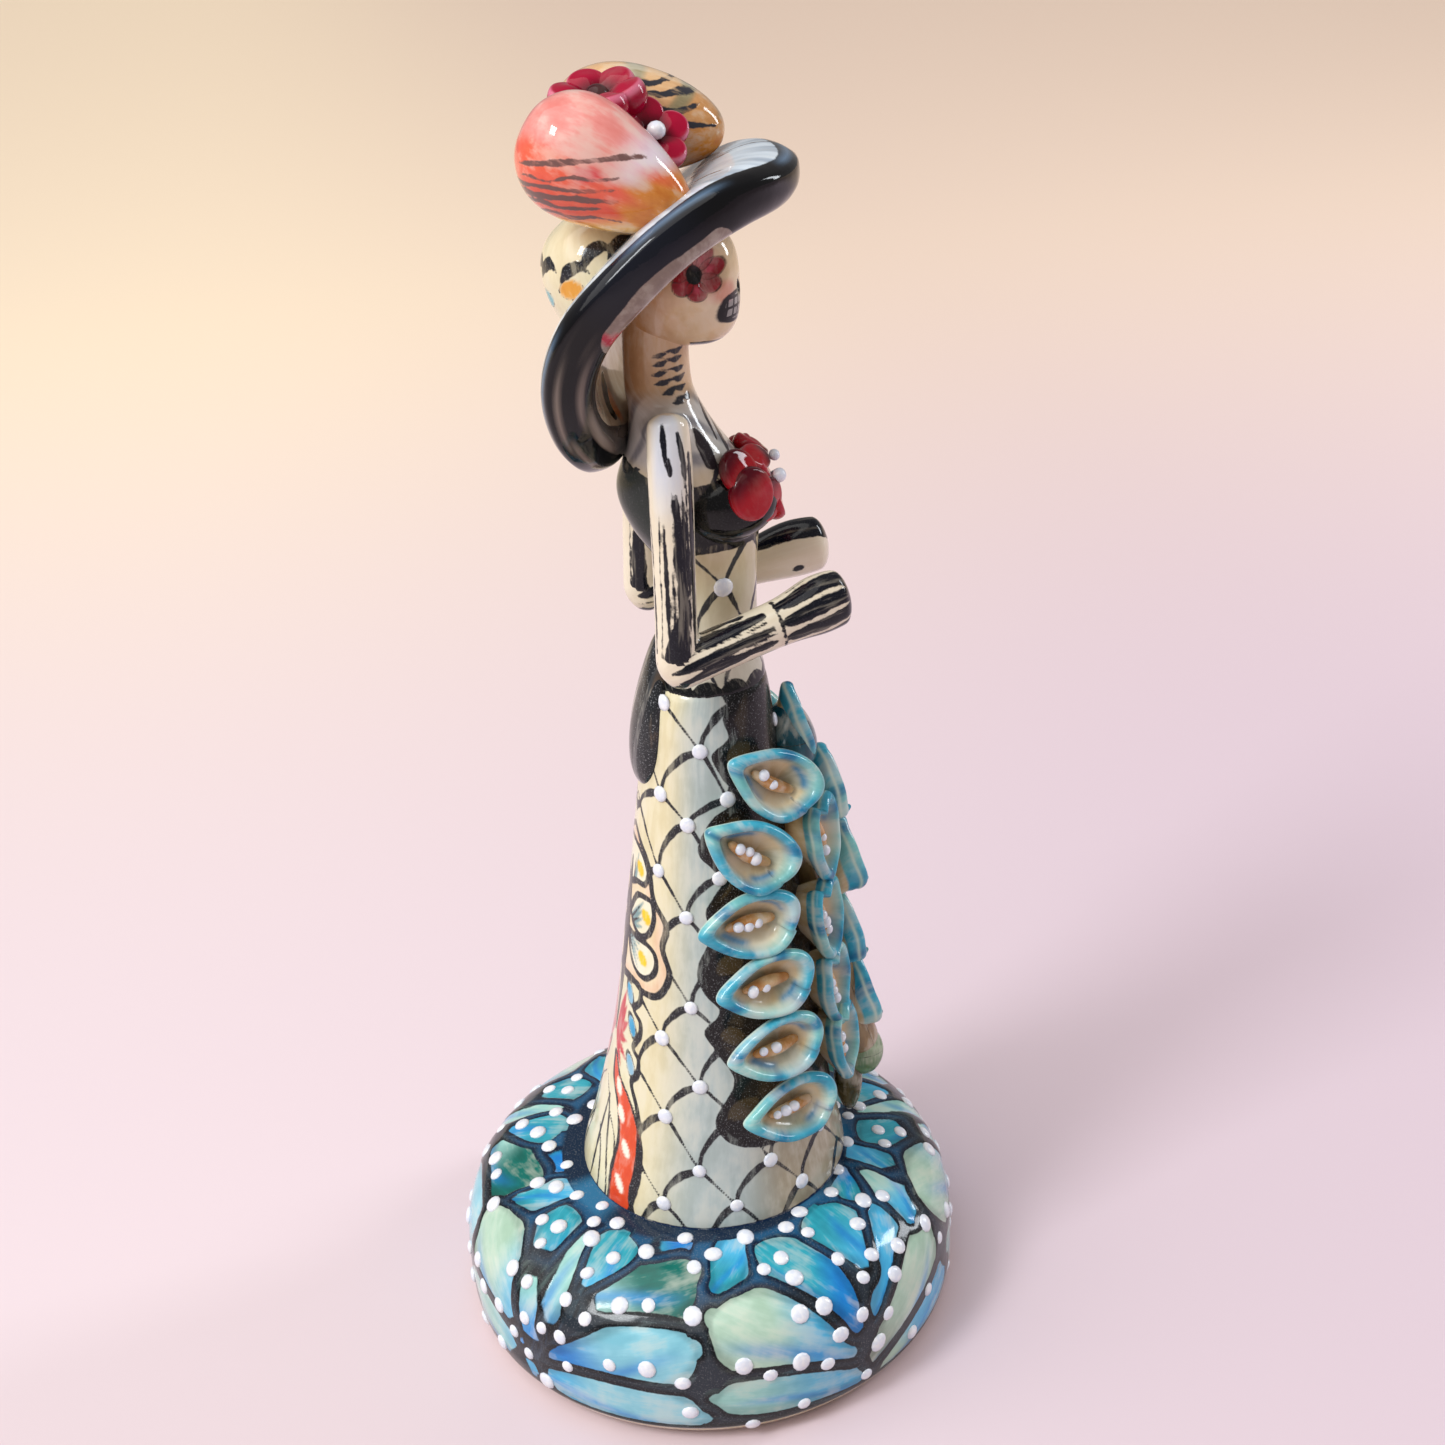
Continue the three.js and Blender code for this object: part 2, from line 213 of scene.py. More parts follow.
def turned_grid(profile, cols):
    """A form turned about +Z from radius and height pairs."""
    turn = np.linspace(0, 2 * math.pi, cols, endpoint=False)
    radius, height = np.asarray(profile, float).T
    return np.stack([
        radius[:, None] * np.cos(turn), radius[:, None] * np.sin(turn), height[:, None] + 0 * turn,
    ], -1)


def ball_grid(rows, cols):
    rise = np.linspace(-math.pi / 2, math.pi / 2, rows)
    return turned_grid(np.stack([np.cos(rise), np.sin(rise)], -1), cols)


def square_to(axis, lead):
    """The direction square to an axis that is nearest to lead."""
    return unit(np.asarray(lead, float) - axis * np.dot(lead, axis))


def orient(grid, centre, facing, lead):
    """Turns a form's +Z to facing and its +X as near as it goes to lead, and moves it to centre."""
    up = unit(facing)
    along = square_to(up, lead)
    across = np.cross(up, along)
    return grid[..., :1] * along + grid[..., 1:2] * across + grid[..., 2:] * up + centre


def blob_grid(centre, radii, facing, lead, taper=0.0, rows=28, cols=40, blunt=2.0):
    """An ellipsoid with radii along lead, across and along facing, that narrows towards a blunt lead."""
    ball = ball_grid(rows, cols)
    along = np.clip(ball[..., 0], -1, 1)
    fuller = (1 - along ** blunt + 1e-9) ** (1 / blunt) / np.sqrt(1 - along ** 2 + 1e-9)
    narrow = (1 - taper * along) * np.where(along > 0, fuller, 1)
    across, out = ball[..., 1] * narrow * radii[1], ball[..., 2] * narrow * radii[2]
    shaped = np.stack([along * radii[0], across, out], -1)
    return orient(shaped * SHARE, centre, facing, lead)


def added_up(steps):
    """A running total of steps, from 0."""
    return np.concatenate([[0], np.cumsum(steps)])


def line_length(line):
    """How far along a line each of its points is."""
    return added_up(np.linalg.norm(np.diff(line, axis=0), axis=1))


def line_way(line):
    """The direction of a line at each of its points."""
    way = np.gradient(line, axis=0)
    return way / np.linalg.norm(way, axis=1)[:, None]


def sample(wanted, known, table):
    """A table's rows at the wanted places, read between its rows at the known ones."""
    return np.stack([np.interp(wanted, known, column) for column in table.T], -1)


LIMB_STEPS = 400


def limb_line(stations, count):
    """Places and radii along a smooth curve through stations of place and radius."""
    line = curve_points([place for place, _ in stations], count)
    return line, curve_points([[radius] for _, radius in stations], count)[:, 0]


def across_limb(along):
    """Directions across a limb: as near to her left as it goes, and square to that."""
    side = np.array([1.0, 0, 0]) - along * along[:, :1]
    side /= np.linalg.norm(side, axis=1)[:, None]
    return side, np.cross(along, side)


def limb_grid(stations, flat=0.0, rows=110, cols=44, round_end=0.09):
    """A round limb with rounded ends along a smooth curve through stations of place and radius."""
    places, girth = limb_line(stations, LIMB_STEPS)
    s = 0.5 - 0.5 * np.cos(np.linspace(0, math.pi, rows))
    end = np.minimum(np.minimum(s, 1 - s) / round_end, 1)
    radius_share = np.sqrt(np.clip(1 - (1 - end) ** 2, 0, 1))
    wanted, known = s * (LIMB_STEPS - 1), np.arange(LIMB_STEPS)
    place, along = sample(wanted, known, places), sample(wanted, known, line_way(places))
    radius = np.interp(wanted, known, girth * SHARE) * radius_share
    side, up = across_limb(along)
    turn = np.linspace(0, 2 * math.pi, cols, endpoint=False)[None, :, None]
    thinner = (1 - flat * s ** 2)[:, None, None]
    ring = np.cos(turn) * side[:, None] * thinner + np.sin(turn) * up[:, None]
    return place[:, None] + ring * radius[:, None, None]


# Paint: coloured grounds and brush strokes, worked out at every vertex

STROKE_STEPS = 24


def stroke_field(places, strokes, reach=2.5):
    """How far inside the nearest brush stroke each place is: positive inside, in millimetres.

    A stroke is a list of x, y and half-width points."""
    field = np.full(len(places), -reach)
    for stroke in strokes:
        line = curve_points(stroke, STROKE_STEPS)
        margin = reach + line[:, 2].max()
        inside = (places >= line[:, :2].min(0) - margin) & (places <= line[:, :2].max(0) + margin)
        near = np.flatnonzero(inside.all(1))
        if not len(near):
            continue
        start, way = line[:-1, :2], np.diff(line[:, :2], axis=0)
        length = (way ** 2).sum(1) + 1e-9
        gap = places[near][:, None] - start
        t = np.clip((gap * way).sum(2) / length, 0, 1)
        gap = np.linalg.norm(gap - t[..., None] * way, axis=2)
        width = line[:-1, 2] + t * np.diff(line[:, 2])
        field[near] = np.maximum(field[near], (width - gap).max(1))
    return field


def grid_strokes(places, strokes, reach=2.5):
    """Brush strokes over a grid of places, as stroke_field gives them."""
    return stroke_field(places.reshape(-1, 2), strokes, reach).reshape(places.shape[:2])


def outline_field(places, outline, count):
    """How far inside a closed smooth outline each place is: positive inside, in millimetres."""
    reach = 4.0
    line = curve_points(np.vstack([outline, outline[:1]]), count)
    start, way = line[:-1], np.diff(line, axis=0)
    low, high = line.min(0) - reach, line.max(0) + reach
    field = np.full(len(places), -reach)
    near = np.flatnonzero(((places >= low) & (places <= high)).all(1))
    here = places[near]
    gap = here[:, None] - start
    t = np.clip((gap * way).sum(2) / ((way ** 2).sum(1) + 1e-9), 0, 1)
    distance = np.linalg.norm(gap - t[..., None] * way, axis=2).min(1)
    above = start[:, 1] > here[:, 1:2]
    crosses = above != np.roll(above, -1, axis=1)
    climb = np.where(way[:, 1] == 0, 1e-9, way[:, 1])
    x = start[:, 0] + (here[:, 1:2] - start[:, 1]) * way[:, 0] / climb
    odd = (crosses & (here[:, :1] < x)).sum(1) % 2 == 1
    field[near] = np.where(odd, distance, -distance)
    return field


def petal_field(x, y, start, end, width, bend=0.0, blunt=1.6):
    """How far inside a petal-shaped cell each place is, how far along it from 0 to 1, and across."""
    way = np.subtract(end, start)
    length = np.linalg.norm(way)
    way = way / length
    along = (x - start[0]) * way[0] + (y - start[1]) * way[1]
    across = (y - start[1]) * way[0] - (x - start[0]) * way[1]
    s = np.clip(along / length, 0, 1)
    half = width * np.sin(math.pi * s ** blunt) ** 0.62
    inside = half - np.abs(across - bend * 4 * s * (1 - s))
    past = np.maximum(along - length, -along)
    return np.where(past > 0, -np.hypot(past, across), np.minimum(inside, 4)), s, across


# Blender pieces

def make_mesh(name, points, faces):
    """A mesh in metres from places in millimetres."""
    mesh = bpy.data.meshes.new(name)
    mesh.from_pydata((np.asarray(points) * MM).tolist(), [], [tuple(int(i) for i in f) for f in faces])
    mesh.update()
    return mesh


def add_values(mesh, name, values):
    """Lays a number, a direction or a colour on every vertex."""
    values = np.asarray(values, np.float32)
    if values.ndim == 1:
        attribute = mesh.attributes.new(name, "FLOAT", "POINT")
        attribute.data.foreach_set("value", values)
    elif name.endswith("way") or name == "facing":
        attribute = mesh.attributes.new(name, "FLOAT_VECTOR", "POINT")
        attribute.data.foreach_set("vector", values.ravel())
    else:
        full = np.concatenate([values, np.ones((len(values), 1), np.float32)], 1)
        attribute = mesh.attributes.new(name, "FLOAT_COLOR", "POINT")
        attribute.data.foreach_set("color", full.ravel())


def add_object(mesh):
    piece = bpy.data.objects.new(mesh.name, mesh)
    bpy.context.scene.collection.objects.link(piece)
    return piece


def settle(piece, material):
    """Gives a piece its glaze and smooth faces, and puts it in the figure's place."""
    mesh = piece.data
    mesh.materials.clear()
    mesh.materials.append(material)
    mesh.polygons.foreach_set("use_smooth", np.ones(len(mesh.polygons), bool))
    mesh.update()
    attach(piece, "root")
    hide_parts(FIGURE_NODE)
    return piece


def join_forms(forms):
    """Several closed grids as one list of vertices and one of faces."""
    points, faces, start = [], [], 0
    for form in forms:
        more_points, more_faces = grid_mesh(form)
        points.append(more_points)
        faces += [tuple(i + start for i in face) for face in more_faces]
        start += len(more_points)
    return np.vstack(points), faces


def painted_piece(name, forms, paints, material):
    """One piece of closed forms, each with its ground colour, ink tint, ink edge and brush way.

    A single colour or number stands for the whole form."""
    mesh = make_mesh(name, *join_forms(forms))
    for key in ("ground", "tint", "ink", "brush_way"):
        laid = []
        for form, colours in zip(forms, paints):
            shape = form.shape[:2] if key == "ink" else form.shape
            laid.append(grid_values(np.broadcast_to(np.asarray(colours[key], float), shape)))
        add_values(mesh, key, np.concatenate(laid))
    return settle(add_object(mesh), material)


def bake_modifiers(piece):
    """Gives a piece the mesh that its modifiers make of it, and takes them off."""
    shown = piece.evaluated_get(bpy.context.evaluated_depsgraph_get())
    mesh = bpy.data.meshes.new_from_object(shown)
    piece.modifiers.clear()
    old, piece.data = piece.data, mesh
    bpy.data.meshes.remove(old)
    mesh.name = piece.name
    return mesh


def blended(name, forms, voxel, smoothing):
    """Forms pressed together into one skin, with the joins smoothed as wet clay."""
    piece = add_object(make_mesh(name, *join_forms(forms)))
    remesh = piece.modifiers.new("Pressed together", "REMESH")
    remesh.mode = "VOXEL"
    remesh.voxel_size = voxel * MM
    smooth = piece.modifiers.new("Wiped smooth", "SMOOTH")
    smooth.factor = 0.5
    smooth.iterations = smoothing
    mesh = bake_modifiers(piece)
    places = np.zeros(len(mesh.vertices) * 3, np.float32)
    mesh.vertices.foreach_get("co", places)
    return piece, places.reshape(-1, 3).astype(float) / MM


# Node groups and materials

def new_group(name, kind, inputs, outputs):
    """An empty node group with named sockets, and its source and result."""
    group = bpy.data.node_groups.new(name, kind)
    for label, socket_kind, value in inputs:
        socket = group.interface.new_socket(
            name=label, in_out="INPUT", socket_type="NodeSocket" + socket_kind)
        if value is not None:
            socket.default_value = value
    for label, socket_kind in outputs:
        group.interface.new_socket(name=label, in_out="OUTPUT", socket_type="NodeSocket" + socket_kind)
    source = group.nodes.new("NodeGroupInput").outputs
    result = group.nodes.new("NodeGroupOutput").inputs
    return group, source, result


def feed(tree, socket, value):
    """Links a socket to another one, or gives it a plain value."""
    if isinstance(value, bpy.types.NodeSocket):
        tree.links.new(value, socket)
    elif value is not None:
        socket.default_value = value


def math_node(tree, operation, first, second=None):
    node = tree.nodes.new("ShaderNodeMath")
    node.operation = operation
    feed(tree, node.inputs[0], first)
    feed(tree, node.inputs[1], second)
    return node.outputs[0]


def mix_node(tree, share, first, second, blend="MIX"):
    node = tree.nodes.new("ShaderNodeMix")
    node.data_type = "RGBA"
    node.blend_type = blend
    for number, value in ((0, share), (6, first), (7, second)):
        feed(tree, node.inputs[number], value)
    return node.outputs[2]


def noise_node(tree, vector, scale, detail=2.0, rough=0.5):
    node = tree.nodes.new("ShaderNodeTexNoise")
    for label, value in (("Vector", vector), ("Scale", scale), ("Detail", detail), ("Roughness", rough)):
        feed(tree, node.inputs[label], value)
    return node.outputs["Fac"]


def range_node(tree, value, low, high, out_low=0.0, out_high=1.0):
    node = tree.nodes.new("ShaderNodeMapRange")
    node.interpolation_type = "SMOOTHSTEP"
    for label, number in (("Value", value), ("From Min", low), ("From Max", high),
                          ("To Min", out_low), ("To Max", out_high)):
        feed(tree, node.inputs[label], number)
    return node.outputs["Result"]


def bump_node(tree, height, strength, distance):
    node = tree.nodes.new("ShaderNodeBump")
    for label, value in (("Height", height), ("Strength", strength), ("Distance", distance)):
        feed(tree, node.inputs[label], value)
    return node.outputs["Normal"]


def new_material(name):
    """A new material, its node tree and its shader's sockets."""
    material = bpy.data.materials.new(name)
    material.use_nodes = True
    return material, material.node_tree, material.node_tree.nodes["Principled BSDF"].inputs


# Noise scales over places in metres: 1000 gives grains of about a millimetre
EDGE_WAVER, POOLING, INK_GRAIN, GLAZE_SWELL, GLAZE_RIPPLE = 420, 110, 2600, 95, 900
WASHED_OUT = (0.8, 0.76, 0.64, 1)
INK_SPECK = (0.32, 0.33, 0.34, 1)


def make_brushwork_group():
    """Watercolour grounds, speckled ink with a wavering edge, and the dips of the glaze."""
    tree, source, result = new_group("Brushwork", "ShaderNodeTree", [
        ("Ground", "Color", None), ("Ink Tint", "Color", None), ("Ink Edge", "Float", 0.0),
        ("Brush Way", "Vector", None), ("Wash", "Float", 0.3), ("Streak Scale", "Float", 0.5),
        ("Speckle", "Float", 0.3), ("Waver", "Float", 0.3), ("Ink Dryness", "Float", 0.2),
    ], [("Color", "Color"), ("Ink", "Float"), ("Height", "Float")])
    place = tree.nodes.new("ShaderNodeTexCoord").outputs["Object"]

    def times(first, second):
        return math_node(tree, "MULTIPLY", first, second)

    def less(first, second):
        return math_node(tree, "SUBTRACT", first, second)

    def plus(first, second):
        return math_node(tree, "ADD", first, second)

    waver = noise_node(tree, place, EDGE_WAVER, 3, 0.6)
    edge = plus(source["Ink Edge"], times(less(waver, 0.5), source["Waver"]))
    ink = range_node(tree, edge, -0.16, 0.16)
    solid = range_node(tree, edge, 1.5, 2.2)

    pool = noise_node(tree, place, POOLING, 3, 0.55)
    streak = noise_node(tree, source["Brush Way"], source["Streak Scale"], 4, 0.62)
    blend = plus(times(pool, 0.5), times(streak, 0.5))
    swing = times(range_node(tree, blend, 0.36, 0.64, -1, 1), source["Wash"])
    lift = math_node(tree, "MAXIMUM", swing, 0.0)
    depth = math_node(tree, "MAXIMUM", times(swing, -1.0), 0.0)
    pale = mix_node(tree, lift, source["Ground"], WASHED_OUT)
    washed = mix_node(tree, depth, pale, mix_node(tree, 1.0, pale, pale, "MULTIPLY"))

    bright_grain = range_node(tree, noise_node(tree, place, INK_GRAIN, 2, 0.7), 0.56, 0.72)
    ink_colour = mix_node(tree, times(bright_grain, source["Speckle"]), source["Ink Tint"], INK_SPECK)
    dry = times(range_node(tree, streak, 0.5, 0.68), source["Ink Dryness"])
    laid = times(ink, less(1.0, times(dry, less(1.0, solid))))
    feed(tree, result["Color"], mix_node(tree, laid, washed, ink_colour))
    feed(tree, result["Ink"], ink)

    swell = noise_node(tree, place, GLAZE_SWELL, 2, 0.5)
    fine = noise_node(tree, place, GLAZE_RIPPLE, 2, 0.5)
    feed(tree, result["Height"], plus(plus(swell, times(fine, 0.06)), times(ink, 0.12)))
    return tree


def make_brushed_material(name, wash=0.3, streak=0.5, speckle=0.3, waver=0.3, dryness=0.2,
                          roughness=0.13, coat=0.5, ripple=0.0006, shine=0.28):
    """Glaze over brushwork: the colours come from the piece's own paint."""
    material, tree, shader = new_material(name)
    group = tree.nodes.new("ShaderNodeGroup")
    group.node_tree = bpy.data.node_groups.get("Brushwork") or make_brushwork_group()
    for label, value in (("Wash", wash), ("Streak Scale", streak), ("Speckle", speckle),
                         ("Waver", waver), ("Ink Dryness", dryness)):
        group.inputs[label].default_value = value
    for key, socket, output in (("ground", "Ground", "Color"), ("tint", "Ink Tint", "Color"),
                                ("ink", "Ink Edge", "Fac"), ("brush_way", "Brush Way", "Vector")):
        reader = tree.nodes.new("ShaderNodeAttribute")
        reader.attribute_name = key
        feed(tree, group.inputs[socket], reader.outputs[output])
    ink = group.outputs["Ink"]
    feed(tree, shader["Base Color"], group.outputs["Color"])
    feed(tree, shader["Normal"], bump_node(tree, group.outputs["Height"], 0.55, ripple))
    feed(tree, shader["Roughness"], range_node(tree, ink, 0, 1, roughness, roughness + 0.03))
    feed(tree, shader["Coat Weight"], range_node(tree, ink, 0, 1, coat, coat * 0.2))
    feed(tree, shader["Specular IOR Level"], shine)
    feed(tree, shader["Coat Roughness"], 0.03)
    return material


def make_enamel_material():
    """Raised white enamel dots, faintly blue, with a soft unevenness."""
    material, tree, shader = new_material("White Enamel")
    place = tree.nodes.new("ShaderNodeTexCoord").outputs["Object"]
    cloud = noise_node(tree, place, 700, 2, 0.5)
    share = range_node(tree, cloud, 0.35, 0.7)
    feed(tree, shader["Base Color"], mix_node(tree, share, (0.72, 0.75, 0.84, 1), (0.86, 0.86, 0.88, 1)))
    feed(tree, shader["Roughness"], 0.22)
    feed(tree, shader["Coat Weight"], 0.3)
    feed(tree, shader["Normal"], bump_node(tree, cloud, 0.2, 0.0002))
    return material


# Beads and dots with Geometry Nodes

def enamel():
    """The dots' white enamel, made when it is first asked for."""
    return bpy.data.materials.get("White Enamel") or make_enamel_material()


BEAD_SEGMENTS, BEAD_RINGS = 12, 7


def make_bead_tree(name):
    """Sets a flattened ball on every point, sized and faced by the point's own values."""
    tree, source, result = new_group(name, "GeometryNodeTree", [
        ("Points", "Geometry", None), ("Bead Width", "Float", None), ("Bead Height", "Float", None),
        ("Unevenness", "Float", None), ("Seed", "Int", None), ("Finish", "Material", None),
    ], [("Beads", "Geometry")])

    def add(kind, output, **inputs):
        """A node with these inputs linked or set, and one of its outputs."""
        node = tree.nodes.new(kind)
        for label, value in inputs.items():
            feed(tree, node.inputs[label], value)
        return node.outputs[output]

    def point_value(kind, label):
        node = tree.nodes.new("GeometryNodeInputNamedAttribute")
        node.data_type = kind
        node.inputs["Name"].default_value = label
        return node.outputs["Attribute"]

    ball = add("GeometryNodeMeshUVSphere", "Mesh", Segments=BEAD_SEGMENTS, Rings=BEAD_RINGS, Radius=0.5)
    turn = tree.nodes.new("FunctionNodeAlignRotationToVector")
    turn.axis = "Z"
    feed(tree, turn.inputs["Vector"], point_value("FLOAT_VECTOR", "facing"))
    uneven = tree.nodes.new("FunctionNodeRandomValue")
    uneven.data_type = "FLOAT"
    feed(tree, uneven.inputs[2], math_node(tree, "SUBTRACT", 1.0, source["Unevenness"]))
    feed(tree, uneven.inputs[3], math_node(tree, "ADD", 1.0, source["Unevenness"]))
    feed(tree, uneven.inputs["Seed"], source["Seed"])
    length = math_node(tree, "MULTIPLY", source["Bead Width"], uneven.outputs[1])
    shape = add("ShaderNodeCombineXYZ", 0, X=length, Y=source["Bead Width"], Z=source["Bead Height"])
    scaled = tree.nodes.new("ShaderNodeVectorMath")
    scaled.operation = "SCALE"
    feed(tree, scaled.inputs[0], shape)
    feed(tree, scaled.inputs["Scale"], point_value("FLOAT", "size"))
    placed = add("GeometryNodeInstanceOnPoints", "Instances", Points=source["Points"], Instance=ball,
                 Rotation=turn.outputs["Rotation"], Scale=scaled.outputs[0])
    real = add("GeometryNodeRealizeInstances", "Geometry", Geometry=placed)
    smooth = add("GeometryNodeSetShadeSmooth", "Geometry", Geometry=real)
    feed(tree, result["Beads"],
         add("GeometryNodeSetMaterial", "Geometry", Geometry=smooth, Material=source["Finish"]))
    return tree


def make_beads(name, places, facings, sizes, width, height, unevenness, seed):
    """Plain mesh beads of white enamel from a point, a facing and a size for each."""
    mesh = make_mesh(name, places, [])
    add_values(mesh, "facing", facings)
    add_values(mesh, "size", sizes)
    piece = add_object(mesh)
    tree = bpy.data.node_groups.get("Set Beads") or make_bead_tree("Set Beads")
    setter = piece.modifiers.new("Beads", "NODES")
    setter.node_group = tree
    values = {"Bead Width": width * MM, "Bead Height": height * MM, "Unevenness": unevenness,
              "Seed": seed, "Finish": enamel()}
    for item in tree.interface.items_tree:
        if item.in_out == "INPUT" and item.name in values:
            setter[item.identifier] = values[item.name]
    piece.update_tag()
    bake_modifiers(piece)
    return settle(piece, enamel())


# Base

def base_profile(count):
    """Radius and height pairs from the foot's edge up over the dome, evenly along the clay."""
    belly = np.linspace(0, math.pi / 2, 40, endpoint=False)
    dome = np.linspace(0, math.pi / 2, 900)
    radius = np.concatenate([
        FOOT_RADIUS + (BASE_RADIUS - FOOT_RADIUS) * np.sin(belly),
        BASE_RADIUS * np.clip(np.cos(dome), 0, 1) ** (2 / DOME_SQUARENESS),
    ])
    height = np.concatenate([
        BELLY_LEVEL * (1 - np.cos(belly)),
        BELLY_LEVEL + (BASE_HEIGHT - BELLY_LEVEL) * np.sin(dome) ** (2 / DOME_SQUARENESS),
    ])
    walked = added_up(np.hypot(np.diff(radius), np.diff(height)))
    climb = np.linspace(0, walked[-1], count)
    return np.interp(climb, walked, radius), np.interp(climb, walked, height), climb


def base_places(azimuth, climb):
    """Places and facings on the base: azimuth in degrees from her front to her right."""
    radius, height, walked = base_profile(600)
    r, z = np.interp(climb, walked, radius), np.interp(climb, walked, height)
    slope_r = np.interp(climb, walked, np.gradient(radius, walked))
    slope_z = np.interp(climb, walked, np.gradient(height, walked))
    turn = np.radians(azimuth)
    out = np.stack([-np.sin(turn), -np.cos(turn)], -1)
    places = np.concatenate([out * r[..., None], z[..., None]], -1)
    facings = np.concatenate([out * slope_z[..., None], -slope_r[..., None]], -1)
    return places, facings


# The wing-like pattern on the base is five fans of cells, each with its root near the floor.
# In a fan, x runs round the base from the root to the photo's right and y runs up from the root.
FAN_ROOTS = (65.5, 142, 214, 286, 355)
ROOT_CLIMB = 14.0

# Each cell: start, end, half-width, bend, bluntness, colour near the root, colour at the end
MINT, PALE, SKY, AZURE = paint("9fcfc6"), paint("b3ceba"), paint("4fb2da"), paint("1f86cf")
TURQUOISE, EMERALD, DEEP, SAGE = paint("36a3b4"), paint("0a6a5f"), paint("22567c"), paint("9aa796")
ICE = paint("8cc8d6")
RIGHT_WING = [
    ((1, 0.5), (42, -0.5), 5.6, 2.5, 1.2, SKY, ICE),
    ((4, 8.5), (40.5, 19), 7.2, 0.8, 1.9, AZURE, ICE),
    ((8, 26), (40.5, 37.5), 8.2, 0.5, 2.3, MINT, EMERALD),
    ((-9, 1), (-1, 42), 6.8, -1.0, 1.35, AZURE, MINT),
]
LEFT_WING = [
    ((-2, -1), (-37.5, 4.5), 5.0, -3.4, 1.4, SKY, MINT),
    ((-4.5, 7.5), (-37.5, 26), 8.6, -1.5, 1.55, SKY, PALE),
    ((-1.5, 15), (-21, 41.5), 5.2, -5.5, 1.7, AZURE, TURQUOISE),
    ((8.5, 25), (10, 45), 8.8, 0, 2.2, SKY, TURQUOISE),
]
SIDE_WING = [
    ((5.5, 16), (25.5, 33), 2.6, 0, 1.6, SKY, SKY),
    ((3.5, 2), (32, 20), 7.0, 1.5, 1.5, SAGE, PALE),
    ((7, -2), (41, 3), 4.2, 1.0, 1.3, PALE, SKY),
    ((30, 25), (42, 42), 4.5, 0, 1.4, SKY, MINT),
]
UPPER_CELLS = [
    ((-36, 34), (-24, 46), 4.4, 0.6, 1.1, TURQUOISE, SKY),
    ((24, 41), (38, 48.5), 3.4, 0.0, 1.0, TURQUOISE, AZURE),
]
# Rows of enamel dots along the veins: points that a row runs through, and how many dots
RIGHT_ROWS = [
    ([(-5, 3.5), (0.4, 15), (5.2, 23.7), (6.5, 32), (12, 38), (21.8, 42.4)], 6),
    ([(6.4, 15.2), (12.3, 21.5), (20, 27), (28, 28.2)], 4),
    ([(7.8, 6.9), (20.2, 12.3), (29.7, 13.4), (37.5, 9.8)], 4),
    ([(38.8, 1.5), (37.4, 14.4), (40, 27), (38.5, 31), (40.8, 38.6), (47, 42.8)], 6),
]
LEFT_ROWS = [
    ([(-10.3, 7.9), (-16.9, 11.3), (-25.3, 10.5), (-31, 14.3)], 4),
    ([(-5.8, 14.2), (-8.4, 23.1), (-13, 31.7), (-20.9, 36.1)], 4),
    ([(1, -1.6), (1, 16.5), (4.7, 23.8), (2.2, 31.3), (0.5, 40.1)], 5),
    ([(-17, -2), (-16.4, 11.2), (-15.5, 23), (-15.7, 31.3), (-13.2, 37.7), (-4.8, 44.4)], 6),
    ([(-21, -4), (-30, -5)], 2),
]
SIDE_ROWS = [
    ([(5, 5.8), (8.5, 12.7), (14.5, 19.3), (20.5, 24.4)], 4),
    ([(11, 26.8), (16.2, 34.6), (25.5, 37.6), (31.8, 33.7)], 4),
    ([(17.2, -0.6), (25.4, 6.4), (35.5, 14.7), (33, 21.4)], 4),
]
UPPER_ROWS = [([(-22, 46), (-8.7, 49.4), (4, 47), (22.5, 45.6), (36, 47)], 5)]


def fan_places(root, local):
    """Azimuth and climb of places given in a fan."""
    local = np.asarray(local, float)
    return root - np.degrees(local[..., 0] / BASE_RADIUS), local[..., 1] + ROOT_CLIMB


def fan_wings(number):
    """The cells and the rows of dots of one fan. The first fan's right wing differs."""
    wing, rows = (SIDE_WING, SIDE_ROWS) if number == 0 else (RIGHT_WING, RIGHT_ROWS)
    return wing + LEFT_WING + UPPER_CELLS, rows + LEFT_ROWS + UPPER_ROWS


# How far the cells' colour grows over their outlines, and half the width of the veins between them
CELL_GROWTH = 2.4
VEIN_HALF = 1.75
# Climbs from the foot: the bare clay ring's top, and the dark line's top above it
BARE_RING_TOP = 8.5
FLOOR_LINE_TOP = 10.4


